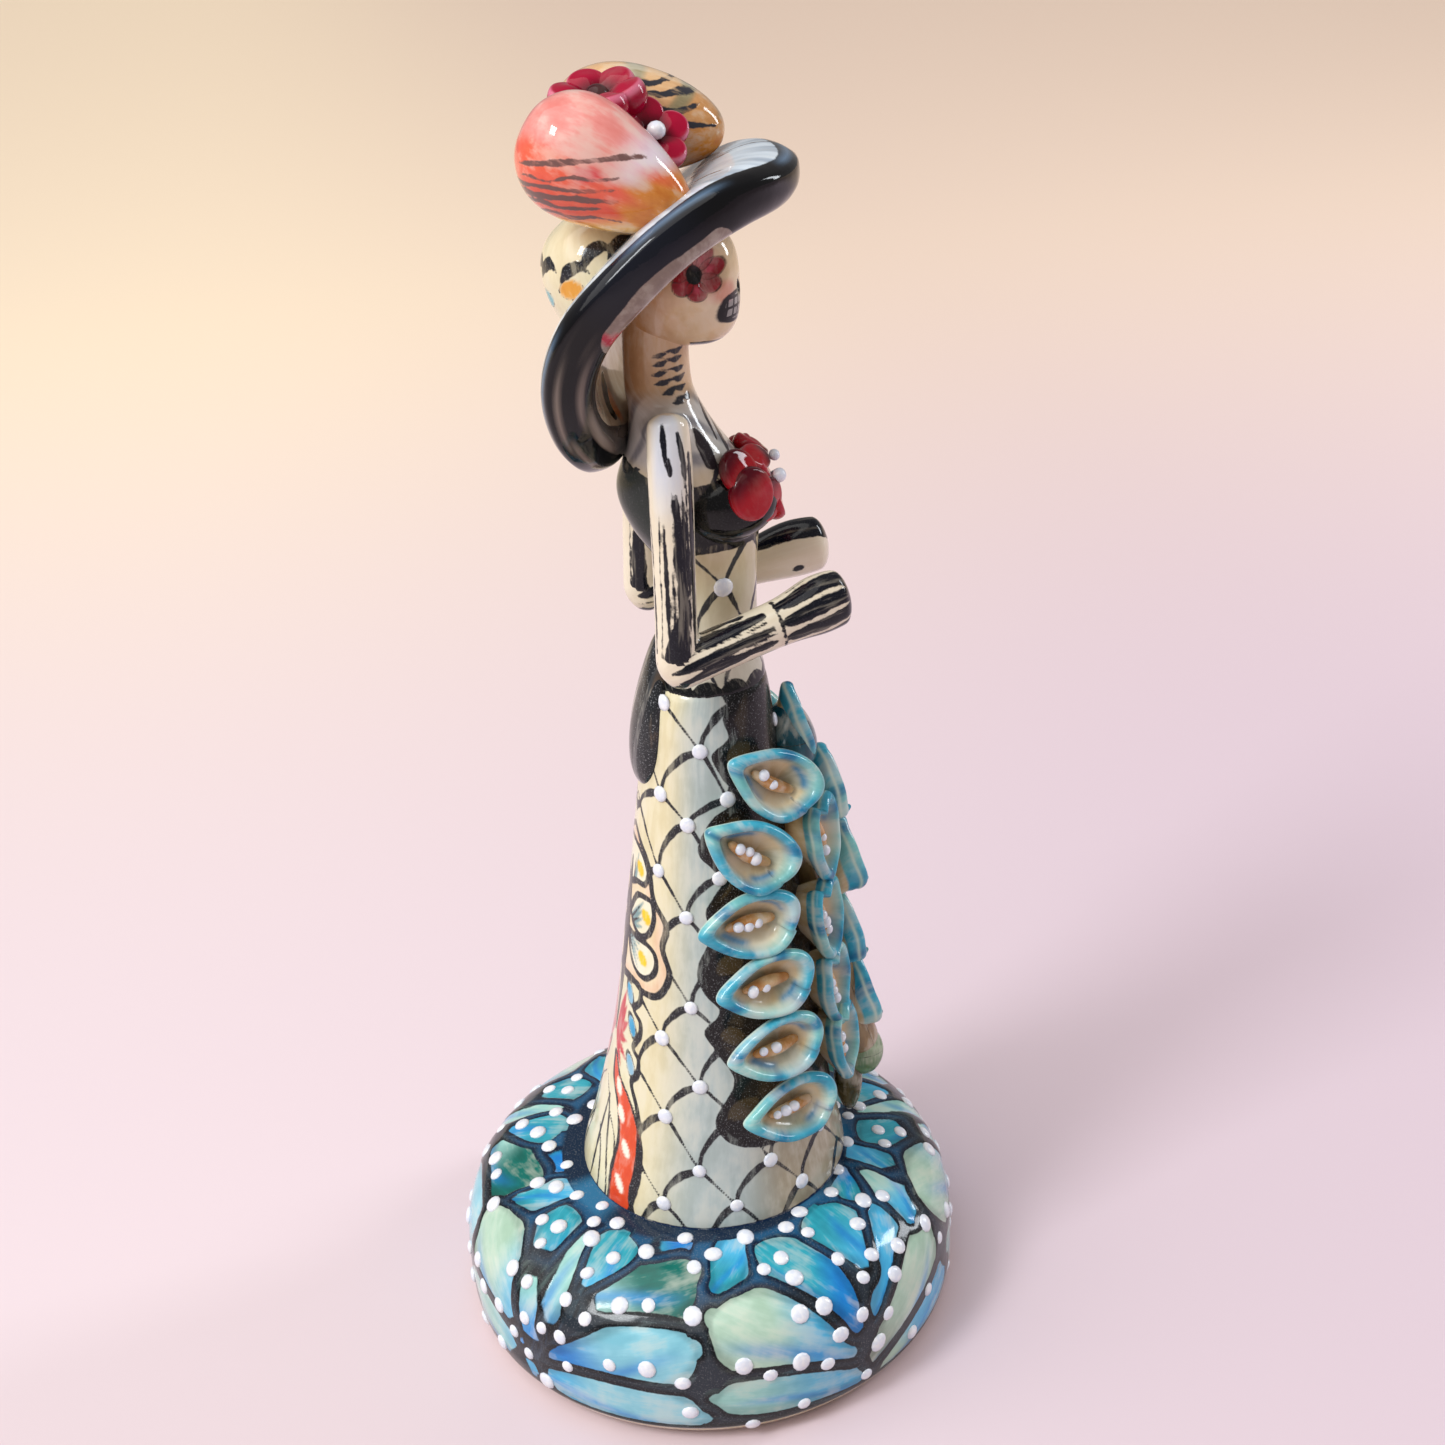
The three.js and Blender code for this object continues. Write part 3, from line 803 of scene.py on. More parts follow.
def fan_cells(azimuth, climb):
    """Ground and brush way of the fans' cells, and how far outside the nearest two each place is."""
    rng = np.random.default_rng(5)
    shape = azimuth.shape
    nearest, second = np.full(shape, 9.0), np.full(shape, 9.0)
    ground = np.broadcast_to(DEEP, shape + (3,)).copy()
    way = np.zeros(shape + (3,))
    for number, root in enumerate(FAN_ROOTS):
        x = np.radians((root - azimuth + 180) % 360 - 180) * BASE_RADIUS
        y = climb - ROOT_CLIMB
        for start, end, width, bend, blunt, near, far in fan_wings(number)[0]:
            inside, s, across = petal_field(x, y, start, end, width, bend, blunt)
            blue_to, pale_from, seed = rng.uniform(0.0, 0.2), rng.uniform(0.45, 0.8), rng.uniform(0, 90)
            colour = mix(near, far, smooth_step(s + 0.015 * across, blue_to, pale_from))
            downward = math.copysign(1, start[0] - end[0])
            streak_at = downward * across / width - 0.35 + 0.3 * np.sin(s * 4 + seed)
            streak = np.exp(-(streak_at / 0.22) ** 2) * smooth_step(s, 1.0, 0.55)
            colour = mix(colour, AZURE, streak * 0.65)
            edge = smooth_step(inside, -1.2, 1.0)[..., None]
            colour = colour * (0.72 + 0.28 * edge)
            length = math.dist(start, end)
            mine = np.stack([across + seed, s * length * 0.16, seed + 0 * s], -1)
            closer = -inside < nearest
            second = np.where(closer, nearest, np.minimum(second, -inside))
            nearest = np.where(closer, -inside, nearest)
            ground[closer], way[closer] = colour[closer], mine[closer]
    return ground, way, nearest, second


def paint_base(azimuth, climb, hem_climb):
    """Ground, tint, ink and brush way over the base, from azimuth in degrees and climb in millimetres."""
    ground, way, nearest, second = fan_cells(azimuth, climb)
    ink = np.maximum(VEIN_HALF - (second - nearest) / 2, nearest - CELL_GROWTH)
    vein = smooth_step(ink, 0.5, 2.0)
    upper = smooth_step(climb, hem_climb - 24, hem_climb - 14)
    tint = mix(paint("121417"), paint("313a44"), vein * 0.6)
    tint = mix(tint, mix(paint("101c33"), DEEP, smooth_step(ink, 0.4, 2.4)), upper * 0.9)
    floor_line = smooth_step(climb, FLOOR_LINE_TOP + 1.6, FLOOR_LINE_TOP - 0.9)
    tint = mix(tint, paint("0f1a18"), floor_line)
    ink = np.maximum(ink, FLOOR_LINE_TOP - climb)
    collar = smooth_step(climb, hem_climb - 4.2, hem_climb - 2.4)
    round_base = np.radians(azimuth)
    sweep = smooth_step(np.sin(round_base * 7 + 1) + np.sin(round_base * 3), 0.2, 1.6)
    tint = mix(tint, mix(paint("13263c"), paint("2f6c92"), sweep), collar)
    ink = np.maximum(ink, climb - (hem_climb - 3.2))
    bare = smooth_step(climb, BARE_RING_TOP + 0.3, BARE_RING_TOP - 0.3)
    ground = mix(ground, paint("c9b795"), bare)
    ink = np.where(climb < BARE_RING_TOP, climb - BARE_RING_TOP - 0.5, ink)
    return ground, tint, ink, way


def build_base(settings):
    rows, cols = 150, 480
    radius, height, climb = base_profile(rows)
    grid = turned_grid(np.vstack([[0, 0], np.stack([radius, height], -1)]), cols)
    climb = np.concatenate([[0], climb])
    azimuth = np.degrees(np.arctan2(-grid[..., 0], -grid[..., 1]))
    azimuth[0] = azimuth[-1] = 0
    hem_climb = float(np.interp(BODY_ROWS[1, 2], radius[::-1], climb[:0:-1]))
    climb = np.broadcast_to(climb[:, None], azimuth.shape)
    ground, tint, ink, way = paint_base(azimuth, climb, hem_climb)
    lift = grid / np.maximum(np.linalg.norm(grid, axis=-1, keepdims=True), 1e-6)
    relief = smooth_step(ink, -0.6, 0.6) * settings.line_relief / MM * (climb > BARE_RING_TOP - 0.5)
    room = smooth_step(HIGH[0] - np.linalg.norm(grid[..., :2], axis=-1), 0, 1)
    grid = grid + lift * relief[..., None] * room[..., None]
    material = make_brushed_material("Base Glaze", wash=0.34, streak=0.3, speckle=0.3, waver=0.6,
                                     dryness=0.12, roughness=0.09, coat=0.3)
    paints = dict(ground=ground, tint=tint, ink=ink, brush_way=way)
    return painted_piece("base", [grid], [paints], material)


LOWEST_DOT, HIGHEST_DOT = 5.5, 63
DOT_SPACING = 5.0


def base_dots():
    """Places, facings and sizes of the enamel dots on the base, none of them close to another."""
    rng = np.random.default_rng(11)
    azimuths, climbs = [], []
    for number, root in enumerate(FAN_ROOTS):
        for row, count in fan_wings(number)[1]:
            line = curve_points(row, count) + rng.uniform(-0.5, 0.5, (count, 2))
            azimuth, climb = fan_places(root, line)
            azimuths.append(azimuth)
            climbs.append(climb)
    azimuth, climb = np.concatenate(azimuths), np.concatenate(climbs)
    places, facings = base_places(azimuth, np.clip(climb, LOWEST_DOT, HIGHEST_DOT))
    kept = []
    for i, place in enumerate(places):
        if all(np.linalg.norm(place - places[j]) > DOT_SPACING for j in kept):
            kept.append(i)
    sizes = rng.uniform(0.8, 1.12, len(kept))
    return places[kept], facings[kept], sizes


# Skirt

# The net's knots: even columns and odd columns lie between each other
EVEN_LEVELS = (-7, 14.7, 36.5, 57, 80, 103, 121, 145, 168, 190)
ODD_LEVELS = (-16, 5.5, 27.5, 47.5, 68.5, 90, 109, 130.5, 157.5, 178)


def net_angle(column, level):
    """The angle in degrees of a net column at a level. The columns close up towards the waist."""
    spread = np.interp(level, [0, 50, 90, 130, 170], [15.5, 20.5, 23, 34, 44])
    middle = np.interp(level, [0, 37, 57, 80, 104, 121, 148, 170],
                       [107.5, 111, 116.7, 120, 119.5, 108.5, 126, 126])
    return middle + column * spread


def net_level(column, row):
    return (ODD_LEVELS if column % 2 else EVEN_LEVELS)[row]


def net_place(column, row):
    """A knot of the net as millimetres round the skirt, and its level."""
    level = net_level(column, row)
    return math.radians(net_angle(column, level)) * float(body_at(level)[1]), level


def net_strokes(rows, columns):
    """Thick arched strokes to the back and thin ones to the front, from each knot to those below."""
    strokes = []
    for column in columns:
        for row in rows:
            down = row if column % 2 == 0 else row - 1
            if down < 0:
                continue
            x, y = net_place(column, row)
            bx, by = net_place(column + 1, down)
            fx, fy = net_place(column - 1, down)
            strokes.append([(x, y, 0.75), (x + (bx - x) * 0.35, y + (by - y) * 0.16, 0.85),
                            (x + (bx - x) * 0.8, y + (by - y) * 0.6, 0.5), (bx, by, 0.5)])
            strokes.append([(x, y, 0.5), (x + (fx - x) * 0.3, y + (fy - y) * 0.2, 0.55),
                            (x + (fx - x) * 0.72, y + (fy - y) * 0.64, 0.3), (fx, fy, 0.45)])
    return strokes


def skirt_places(outline):
    """Angle and level pairs as millimetres round the skirt and level."""
    return [(math.radians(angle) * float(body_at(level)[1]), level, *rest)
            for angle, level, *rest in outline]


def skirt_field(places, outline, count=120):
    """How far inside an outline given in angles and levels each place on the skirt is."""
    return outline_field(places, np.array(skirt_places(outline)), count)


# The butterfly spreads over the back: half of it, in degrees from her front and levels
UPPER_WING = [
    (186, 98), (171, 95.5), (153.7, 90.4), (146.5, 82.6), (134, 76.5), (136.2, 70.6), (130.5, 64.2),
    (137.5, 58), (149.5, 56.8), (160, 58), (186, 62),
]
UPPER_LOBES = [
    ([(186, 93), (173, 93), (160, 91), (153.4, 87.6), (156, 84.6), (166, 83.8), (186, 82)],
     (163.6, 87.6)),
    ([(174, 75), (166, 80), (158, 81.2), (148, 81), (145, 77), (148.5, 73), (156, 71), (166, 72)],
     (152.5, 76.6)),
    ([(174, 70), (163, 69.8), (150, 69.8), (142.6, 68), (141.6, 64), (150, 60.8), (161, 61.6), (169, 65)],
     (153.8, 65.4)),
]
LOWER_WING = [
    (186, 57), (166, 57.6), (154.5, 58), (153, 54), (158, 50.8), (151, 48.4), (151, 44.5), (155.6, 41),
    (149.8, 38.5), (149.3, 34.5), (153, 31.8), (145.2, 25.6), (141.2, 17.7), (140.3, 10.6), (141, 4),
    (143, -4), (186, -4),
]
LOWER_BAND = [
    (172, 34.5, 0.8), (166, 29.5, 2.2), (156, 25.4, 3.3), (148.2, 18.6, 3.9), (146.4, 11.9, 3.8),
    (147.2, 4.4, 3.7), (148.5, -2, 3.3),
]
BAND_OVALS = [(162.5, 28.4), (156.5, 22.5), (148.9, 14.7), (148.4, 5.6)]
LOWER_SPOTS = [(164, 54), (158.6, 46.1), (156.2, 36)]
LOWER_RAYS = [(166, 50), (162, 41), (165, 33)]
LOWER_VEINS = [
    [(178, 27, 0.3), (168, 21, 0.45), (160, 8, 0.4), (157, -3, 0.3)],
    [(174, 14, 0.3), (167, 9, 0.4), (164, -2, 0.3)],
    [(170, 24, 0.3), (172, 12, 0.4), (173, -2, 0.3)],
    [(166, 20, 0.3), (158, 15, 0.35), (154, 8, 0.3)],
]
BUTTERFLY_BODY = [(180, 88, 0.6), (180, 74, 2.2), (180, 58, 1.8), (180, 40, 0.4)]
WING_ROOT = (176, 71)
SPOT_ROOT = (177, 40)


def paint_butterfly(places, ground, ink):
    """The butterfly's areas and outlines over the skirt's own ground and ink."""
    def lay(code, share):
        ground[:] = mix(ground, paint(code), share)

    def spot(centre, width, height, code):
        (x, y), = skirt_places([centre])
        inside = 1 - np.hypot((places[:, 0] - x) / width, (places[:, 1] - y) / height)
        lay(code, smooth_step(inside, 0.0, 0.25))
        return inside

    def rays(root, ends, width):
        strokes = []
        for end in ends:
            middle = ((root[0] + end[0]) / 2, (root[1] + end[1]) / 2, width)
            strokes.append(skirt_places([(*root, width * 0.4), middle, (*end, 0.1)]))
        return stroke_field(places, strokes)

    upper, lower = skirt_field(places, UPPER_WING), skirt_field(places, LOWER_WING)
    ink = np.where(np.maximum(upper, lower) > 0, BARE, ink)
    lay("e6d3ae", smooth_step(upper, -0.2, 0.3))
    lay("e0dab8", smooth_step(lower, -0.2, 0.3))
    lay("e4b79a", smooth_step(upper, 0.3, 1.5) * smooth_step(upper, 3.6, 1.6) * 0.5)
    for lobe, eye in UPPER_LOBES:
        inside = skirt_field(places, lobe)
        lay("ece6cc", smooth_step(inside, -0.2, 0.3))
        teal = rays(WING_ROOT, [(eye[0] + 4, eye[1] + shift) for shift in (-3.2, -1.1, 1.1, 3.2)], 0.7)
        lay("3d8793", smooth_step(teal, -0.3, 0.3) * (inside > 0.3) * 0.8)
        spot(eye, 1.9, 2.0, "eec90f")
        ink = np.maximum(ink, 0.7 - np.abs(inside))
        lines = rays(WING_ROOT, [(eye[0] + 8, eye[1] + shift) for shift in (-1.5, 1.5)], 0.3)
        ink = np.maximum(ink, np.where(inside > 0, lines, BARE))
    crimson = rays(SPOT_ROOT, [(x + 4, y) for x, y in LOWER_SPOTS] + LOWER_RAYS, 1.2)
    lay("c42a35", smooth_step(crimson, -0.25, 0.25))
    for centre in LOWER_SPOTS:
        inside = spot(centre, 1.7, 2.9, "2d9fcb")
        ink = np.maximum(ink, np.where(np.abs(inside) < 0.3, 0.25 - np.abs(inside) * 1.6, BARE))
    orange = stroke_field(places, [skirt_places(LOWER_BAND)])
    lay("dc4d1f", smooth_step(orange, -0.15, 0.15))
    ink = np.maximum(ink, np.where(orange > -1.6, 0.5 - np.abs(orange), BARE))
    for centre in BAND_OVALS:
        inside = spot(centre, 1.5, 2.3, "f2eddc")
        ink = np.where(inside > -0.15, np.minimum(ink, -inside * 2), ink)
    ink = np.maximum(ink, stroke_field(places, [skirt_places(vein) for vein in LOWER_VEINS]))
    body = stroke_field(places, [skirt_places(BUTTERFLY_BODY)])
    edge = np.where(upper > -3, 0.85 - np.abs(upper - 0.2), BARE)
    edge = np.maximum(edge, np.where(lower > -3, 0.75 - np.abs(lower), BARE))
    return np.maximum(np.maximum(ink, body), edge)


# The dark cloud behind the lilies, with the pointed lobes of its back edge, and the leaves on it
CLOUD = [
    (-12, 136), (60, 136), (76, 134), (88, 128.5), (84, 123.5), (99, 120), (92, 114.5), (82, 108.5),
    (101, 104.5), (112, 97), (102, 92.5), (94, 89.5), (107, 82), (104, 76), (113, 67), (109, 61),
    (100, 56), (109, 51), (103, 46), (93, 37.5), (102, 28.5), (98, 23), (87, 19.8), (70, 18.5),
    (40, 19), (-12, 19),
]
CLOUD_STEPS = 260
LEAVES = [
    ((80, 104), (94, 98)), ((88, 93), (103, 84)), ((84, 70), (101, 66)), ((86, 49), (100, 50)),
    ((80, 32), (96, 28)), ((64, 121), (86, 118)), ((58, 24), (80, 24)), ((76, 84), (90, 78)),
    ((72, 58), (88, 60)),
]


def paint_skirt(angle, level):
    """Ground, tint and ink of the skirt. The angle runs from her front round to her back."""
    radius = body_at(level)[1]
    places = np.stack([angle * radius, level], -1)
    degrees = np.degrees(angle)
    ground = mix(paint("b4c0bd"), paint("e0d6b2"), smooth_step(degrees, 108, 140))
    front = smooth_step(degrees, 92, 66) * smooth_step(level, 60, 10)
    ground = mix(ground, paint("ab9f86"), front)
    cloud = skirt_field(places, CLOUD, CLOUD_STEPS)
    net = stroke_field(places, net_strokes(range(0, 9), range(-5, 4)))
    ink = np.maximum(net, cloud)
    ink = paint_butterfly(places, ground, ink)
    tint = mix(paint("232428"), paint("0f0e0f"), smooth_step(cloud, -0.5, 0.8))
    patches = smooth_step(np.sin(places[:, 0] * 0.55 + places[:, 1] * 0.23), -0.2, 0.9)
    tint = mix(tint, paint("3a3226"), smooth_step(cloud, 2.0, 3.2) * patches * 0.8)
    for start, end in LEAVES:
        (x0, y0), (x1, y1) = skirt_places([start, end])
        inside = petal_field(places[:, 0], places[:, 1], (x0, y0), (x1, y1), 2.6, 0, 1.0)[0]
        leaf = np.minimum(inside, cloud - 1.2)
        tint = mix(tint, LEAF_BROWN, smooth_step(leaf, -0.2, 0.6) * 0.85)
        tint = mix(tint, paint("0d0c0c"), smooth_step(0.45 - np.abs(leaf + 0.3), -0.1, 0.2))
    hem = smooth_step(level, 0.4, -0.2)
    ink = np.where(cloud > 0, cloud, ink)
    return ground, mix(tint, paint("1c3358"), hem), np.maximum(ink, 0.2 - level)


def build_skirt(settings):
    cols = 380
    top = SKIRT_TOP + 1.6
    levels = np.concatenate([[-3.0], np.linspace(-2, top, 236), [top]])
    turn = np.linspace(-math.pi, math.pi, cols, endpoint=False)
    tuck = smooth_step(levels, SKIRT_TOP - 1.0, top) * -0.5
    grid = off_body(turn[None, :], levels[:, None], tuck[:, None])
    grid[0] = grid[0].mean(0)
    grid[-1] = grid[-1].mean(0)
    shape = grid.shape[:2]
    angle = np.broadcast_to(np.abs(turn), shape)
    level = np.broadcast_to(levels[:, None], shape)
    ground, tint, ink = paint_skirt(angle.ravel(), level.ravel())
    way = np.stack([angle * 25, level * 0.22, np.sign(turn) + 0 * level], -1)
    material = make_brushed_material("Skirt Glaze", wash=0.3, streak=0.4, speckle=0.55, waver=0.55,
                                     dryness=0.3, roughness=0.18, coat=0.4)
    paints = dict(ground=ground.reshape(shape + (3,)), tint=tint.reshape(shape + (3,)),
                  ink=ink.reshape(shape), brush_way=way)
    return painted_piece("skirt", [grid], [paints], material)


def skirt_dots():
    """Places, facings and sizes of the enamel dots on the net's knots."""
    places, facings, sizes = [], [], []
    rng = np.random.default_rng(3)
    for side in SIDES:
        for column in range(-4, 2):
            for row in range(0, 8):
                level = net_level(column, row)
                degrees = float(net_angle(column, level))
                spot = np.array([net_place(column, row)])
                on_cloud = skirt_field(spot, CLOUD, CLOUD_STEPS)[0] > 0.4
                on_wing = max(skirt_field(spot, wing)[0] for wing in (UPPER_WING, LOWER_WING)) > -1.0
                if on_cloud or on_wing or not 2 <= level <= 131 or degrees > 172:
                    continue
                turn = math.radians(degrees) * -side
                places.append(off_body(np.array(turn), np.array(float(level)), 0.1))
                facings.append((-math.sin(turn), -math.cos(turn), 0.16))
                sizes.append(rng.uniform(0.9, 1.15))
    return np.array(places), np.array(facings), np.array(sizes)


# Torso, arms and bust as one skin

# The arms' stations from shoulder to hand: place on her left side, and radius
UPPER_ARM = [
    ((14.6, -0.6, 200.0), 4.1), ((16.7, -0.2, 190), 4.7), ((19.3, 0.9, 165), 4.5), ((21, 2, 141.5), 4.6),
]
FOREARM = [
    ((21.2, 5.4, 144.5), 5.0), ((19.4, -8, 148), 5.0), ((16.4, -22, 150.8), 5.3),
    ((14.2, -31, 152.6), 6.7), ((13.4, -38, 153.8), 6.2),
]
# How much further her left hand reaches forward, and the share of it at the forearm's stations
LEFT_REACH = 2.5
REACH_SHARES = {3: 0.5, 4: 1.0}


def arm_stations(side, stations):
    """The stations of one of her arms."""
    reach = LEFT_REACH if side == LEFT else 0
    made = []
    for i, ((x, y, z), radius) in enumerate(stations):
        out = reach * REACH_SHARES.get(i, 0) if stations is FOREARM else 0
        made.append((at(side * x, y - out, z + min(out, reach / 2)), radius))
    return made


def torso_forms():
    """The closed forms that are pressed together: trunk, shoulders, arms and bust."""
    levels = np.concatenate([[SKIRT_TOP - 0.5], np.linspace(SKIRT_TOP, NECK_TOP, 90), [NECK_TOP]])
    turn = np.linspace(0, 2 * math.pi, 96, endpoint=False)
    body = off_body(turn[None, :], levels[:, None])
    body[0] = body[0].mean(0)
    body[-1] = body[-1].mean(0)
    to_left = np.array([1.0, 0, 0])
    forms = [body, blob_grid(at(0, -1.5, 194), (16.5, 5.8, 5.2), UP, to_left)]
    for side in SIDES:
        forms.append(limb_grid(arm_stations(side, UPPER_ARM)))
        forms.append(limb_grid(arm_stations(side, FOREARM), flat=0.3))
        forms.append(blob_grid(at(side * 6.8, -13.2, 176), (8.4, 11.4, 8.4), UP, to_left))
    forms.append(blob_grid(at(0, -12.8, 175.8), (9, 11, 7.8), UP, to_left))
    return forms


def limb_places(points, stations):
    """Of places by a limb: how far along it, turn round it, how far off it, and the limb's length."""
    line, girth = limb_line(stations, 160)
    walked, tangents = line_length(line), line_way(line)
    nearest = np.zeros(len(points), int)
    batch = 20000
    for start in range(0, len(points), batch):
        gap = points[start:start + batch, None] - line
        nearest[start:start + batch] = np.argmin((gap ** 2).sum(2), axis=1)
    offset = points - line[nearest]
    side, up = across_limb(tangents[nearest])
    turn = np.arctan2((offset * up).sum(1), (offset * side).sum(1))
    return walked[nearest], turn, np.linalg.norm(offset, axis=1) - girth[nearest], walked[-1]


def wrapped(stroke):
    """A stroke on an arm three times, a whole turn apart, so that it goes on over the seam."""
    return [[(x + shift, y, width) for x, y, width in stroke] for shift in (-ARM_GIRTH, 0, ARM_GIRTH)]


def arm_strokes(start, end, count, seed, widths):
    """Long brush strokes along an arm, in millimetres round it and along it."""
    rng = np.random.default_rng(seed)
    strokes = []
    for i in range(count):
        x = ARM_GIRTH * ((i + rng.uniform(-0.35, 0.35)) / count - 0.5)
        first = start + rng.uniform(0, 0.3) * (end - start)
        last = end - rng.uniform(0, 0.2) * (end - start)
        reach = last - first
        width = widths[int(rng.integers(len(widths)))]
        drift = rng.uniform(-0.8, 0.8)
        stroke = [(x, first, 0.12)]
        for share in (0.15, 0.35, 0.55, 0.75, 0.9):
            stroke.append((x + drift * share + rng.uniform(-0.25, 0.25), first + share * reach,
                           width * rng.uniform(0.45, 1.25)))
        stroke.append((x + drift, last, 0.12))
        strokes += wrapped(stroke)
    return strokes


ARM_RADIUS = 5
ARM_GIRTH = 2 * math.pi * ARM_RADIUS
# The wrist's share of the forearm's length
WRIST = 0.6
# Broad strokes on the outer side of her right arm: millimetres round it, along it, and half-width
UPPER_ARM_STROKES = [
    [(15.6, 16, 0.3), (15.4, 22, 0.95), (15.2, 35, 0.85), (15.0, 45, 1.1), (14.8, 51, 1.7)],
    [(11.7, 8, 0.5), (11.4, 22, 1.0), (11.2, 42, 0.8), (11.4, 50, 0.3)],
    [(17.9, 2, 0.4), (17.9, 4.5, 0.7), (17.6, 8, 0.45), (17.4, 10, 0.2)],
    [(14.4, 4, 0.4), (13.7, 8, 0.8), (13.2, 14, 0.3)],
    [(16.9, 8.5, 0.3), (16.7, 10.5, 0.6), (16.6, 12, 0.2)],
    [(18.6, 22, 0.3), (18.4, 38, 0.6), (18.2, 48, 0.3)],
]
FOREARM_STROKES = [
    [(10.4, 2, 0.5), (10.3, 9, 1.6), (10.6, 17, 1.5), (10.3, 24, 0.8)],
    [(14.4, 2, 0.5), (14.6, 10, 1.3), (14.2, 19, 1.0), (13.9, 25, 0.5)],
    [(17.8, 3, 0.5), (17.4, 9, 1.1), (16.9, 18, 0.6), (16.6, 22, 0.2)],
]


def outer_strokes(strokes, side):
    """The strokes of her right arm, or the same ones mirrored for her left arm."""
    placed = []
    for stroke in strokes:
        placed += wrapped([(x if side == RIGHT else ARM_GIRTH / 2 - x, y, w) for x, y, w in stroke])
    return placed


def upper_arm_marks(side, length, seed):
    """Strokes down an upper arm, that run together at the elbow."""
    half = ARM_GIRTH / 2
    elbow = [[(x, length - 15, 0.5), (x + 0.8, length - 8, 2.2), (x - 0.4, length - 2.5, 2.8),
              (x, length + 1, 2.0)] for x in (-half + 1, 1, half + 1)]
    return (arm_strokes(8, length, 3, seed, (0.9, 1.3, 1.7))
            + arm_strokes(9, length - 2, 7, seed + 7, (0.25, 0.4))
            + outer_strokes(UPPER_ARM_STROKES, side) + elbow)


def forearm_marks(side, length, seed):
    """Strokes along a forearm, with its wrist line and its fingers."""
    half = ARM_GIRTH / 2
    wrist = WRIST * length
    marks = [[(-half, wrist, 0.35), (0, wrist + 0.7, 0.45), (half, wrist, 0.35)]]
    for i in range(9):
        x = ARM_GIRTH * (i - 0.5) / 8 - half
        marks.append([(x, wrist + 1.5, 1.0), (x + 0.2, wrist + 4, 1.5), (x - 0.2, length - 3, 1.6),
                      (x, length + 1, 2.2)])
    return (arm_strokes(-2, wrist - 0.8, 3, seed, (1.0, 1.5, 1.9))
            + arm_strokes(0, wrist - 0.8, 7, seed + 7, (0.25, 0.4))
            + outer_strokes(FOREARM_STROKES, side) + marks)


# Strokes on the chest: millimetres round it, level and half-width
RIB_STROKES = [
    [(2.5, 198, 0.3), (6, 195.2, 0.9), (9, 190.5, 0.4)],
    [(2, 194, 0.3), (5, 190.8, 1.1), (8, 186.6, 0.5)],
    [(13.4, 194, 0.5), (14.2, 190.5, 1.7), (14.8, 187, 1.6)],
    [(0, 190, 0.2), (1.5, 187.5, 0.7), (3, 185, 0.3)],
]
# The neck's marks: level, and how much shorter the mark is at both ends
NECK_MARKS = ((209.6, 0.3), (207.8, 0.5), (205.8, 0.0), (203.8, 0.2), (201.8, 0.6), (199.8, 0.9))


def neck_strokes():
    """Level strokes across the neck's bones, on both sides."""
    strokes = []
    for mark, shorter in NECK_MARKS:
        near, far = 4.6 + shorter, 12.2 - shorter
        strokes.append([(near, mark + 0.6, 0.25), (near + 1.7, mark + 0.1, 0.62),
                        (near + 3.2, mark + 0.35, 0.35), (far - 1.8, mark - 0.3, 0.6),
                        (far, mark - 0.5, 0.2)])
    return strokes


def paint_trunk(x, level, angle, flat):
    """Ground, tint and ink of the waist, bodice, chest and neck."""
    degrees = np.degrees(angle)
    ground = mix(paint("c6c3b0"), paint("d6c8a6"), smooth_step(level, 140, 165))
    ink = stroke_field(flat, net_strokes(range(6, 10), range(-5, 4)))
    tint = np.broadcast_to(CHARCOAL, ground.shape).copy()
    hem = 134.2 + 1.8 * np.abs(np.sin(angle * 6)) ** 0.7 - level
    ink = np.maximum(ink, hem)
    tint = mix(tint, paint("131416"), smooth_step(hem, -0.5, 0.2))

    chest = smooth_step(level, 184, 188)
    stain = smooth_step(np.sin(x * 0.9 + level * 0.5), 0.2, 1.0)
    ground = mix(ground, mix(paint("c9c5bd"), paint("8b8a8c"), stain), chest)
    # Painted shade: the neck darkens from tan-cream to brown towards her back.
    neck = mix(paint("d0af86"), paint("a87c50"), smooth_step(degrees, 95, 150) * 0.8)
    ground = mix(ground, neck, smooth_step(level, 197, 203))
    ink = np.where(level > 186, BARE, ink)
    ink = np.maximum(ink, stroke_field(flat, neck_strokes()))
    ribs = stroke_field(flat, RIB_STROKES)
    tint = mix(tint, paint("2b2428"), smooth_step(ribs, -0.5, 0.2))
    ink = np.maximum(ink, ribs)

    lower_edge = 166.5 - 3.0 * smooth_step(degrees, 90, 180)
    upper_edge = 184.5 + 2.0 * np.cos(angle * 2)
    bodice = np.minimum(level - lower_edge, upper_edge - level)
    ink = np.maximum(ink, bodice)
    dark = mix(paint("050507"), paint("2b332f"), smooth_step(degrees, 80, 150) * 0.9)
    return ground, mix(tint, dark, smooth_step(bodice, -0.5, 0.3)), ink


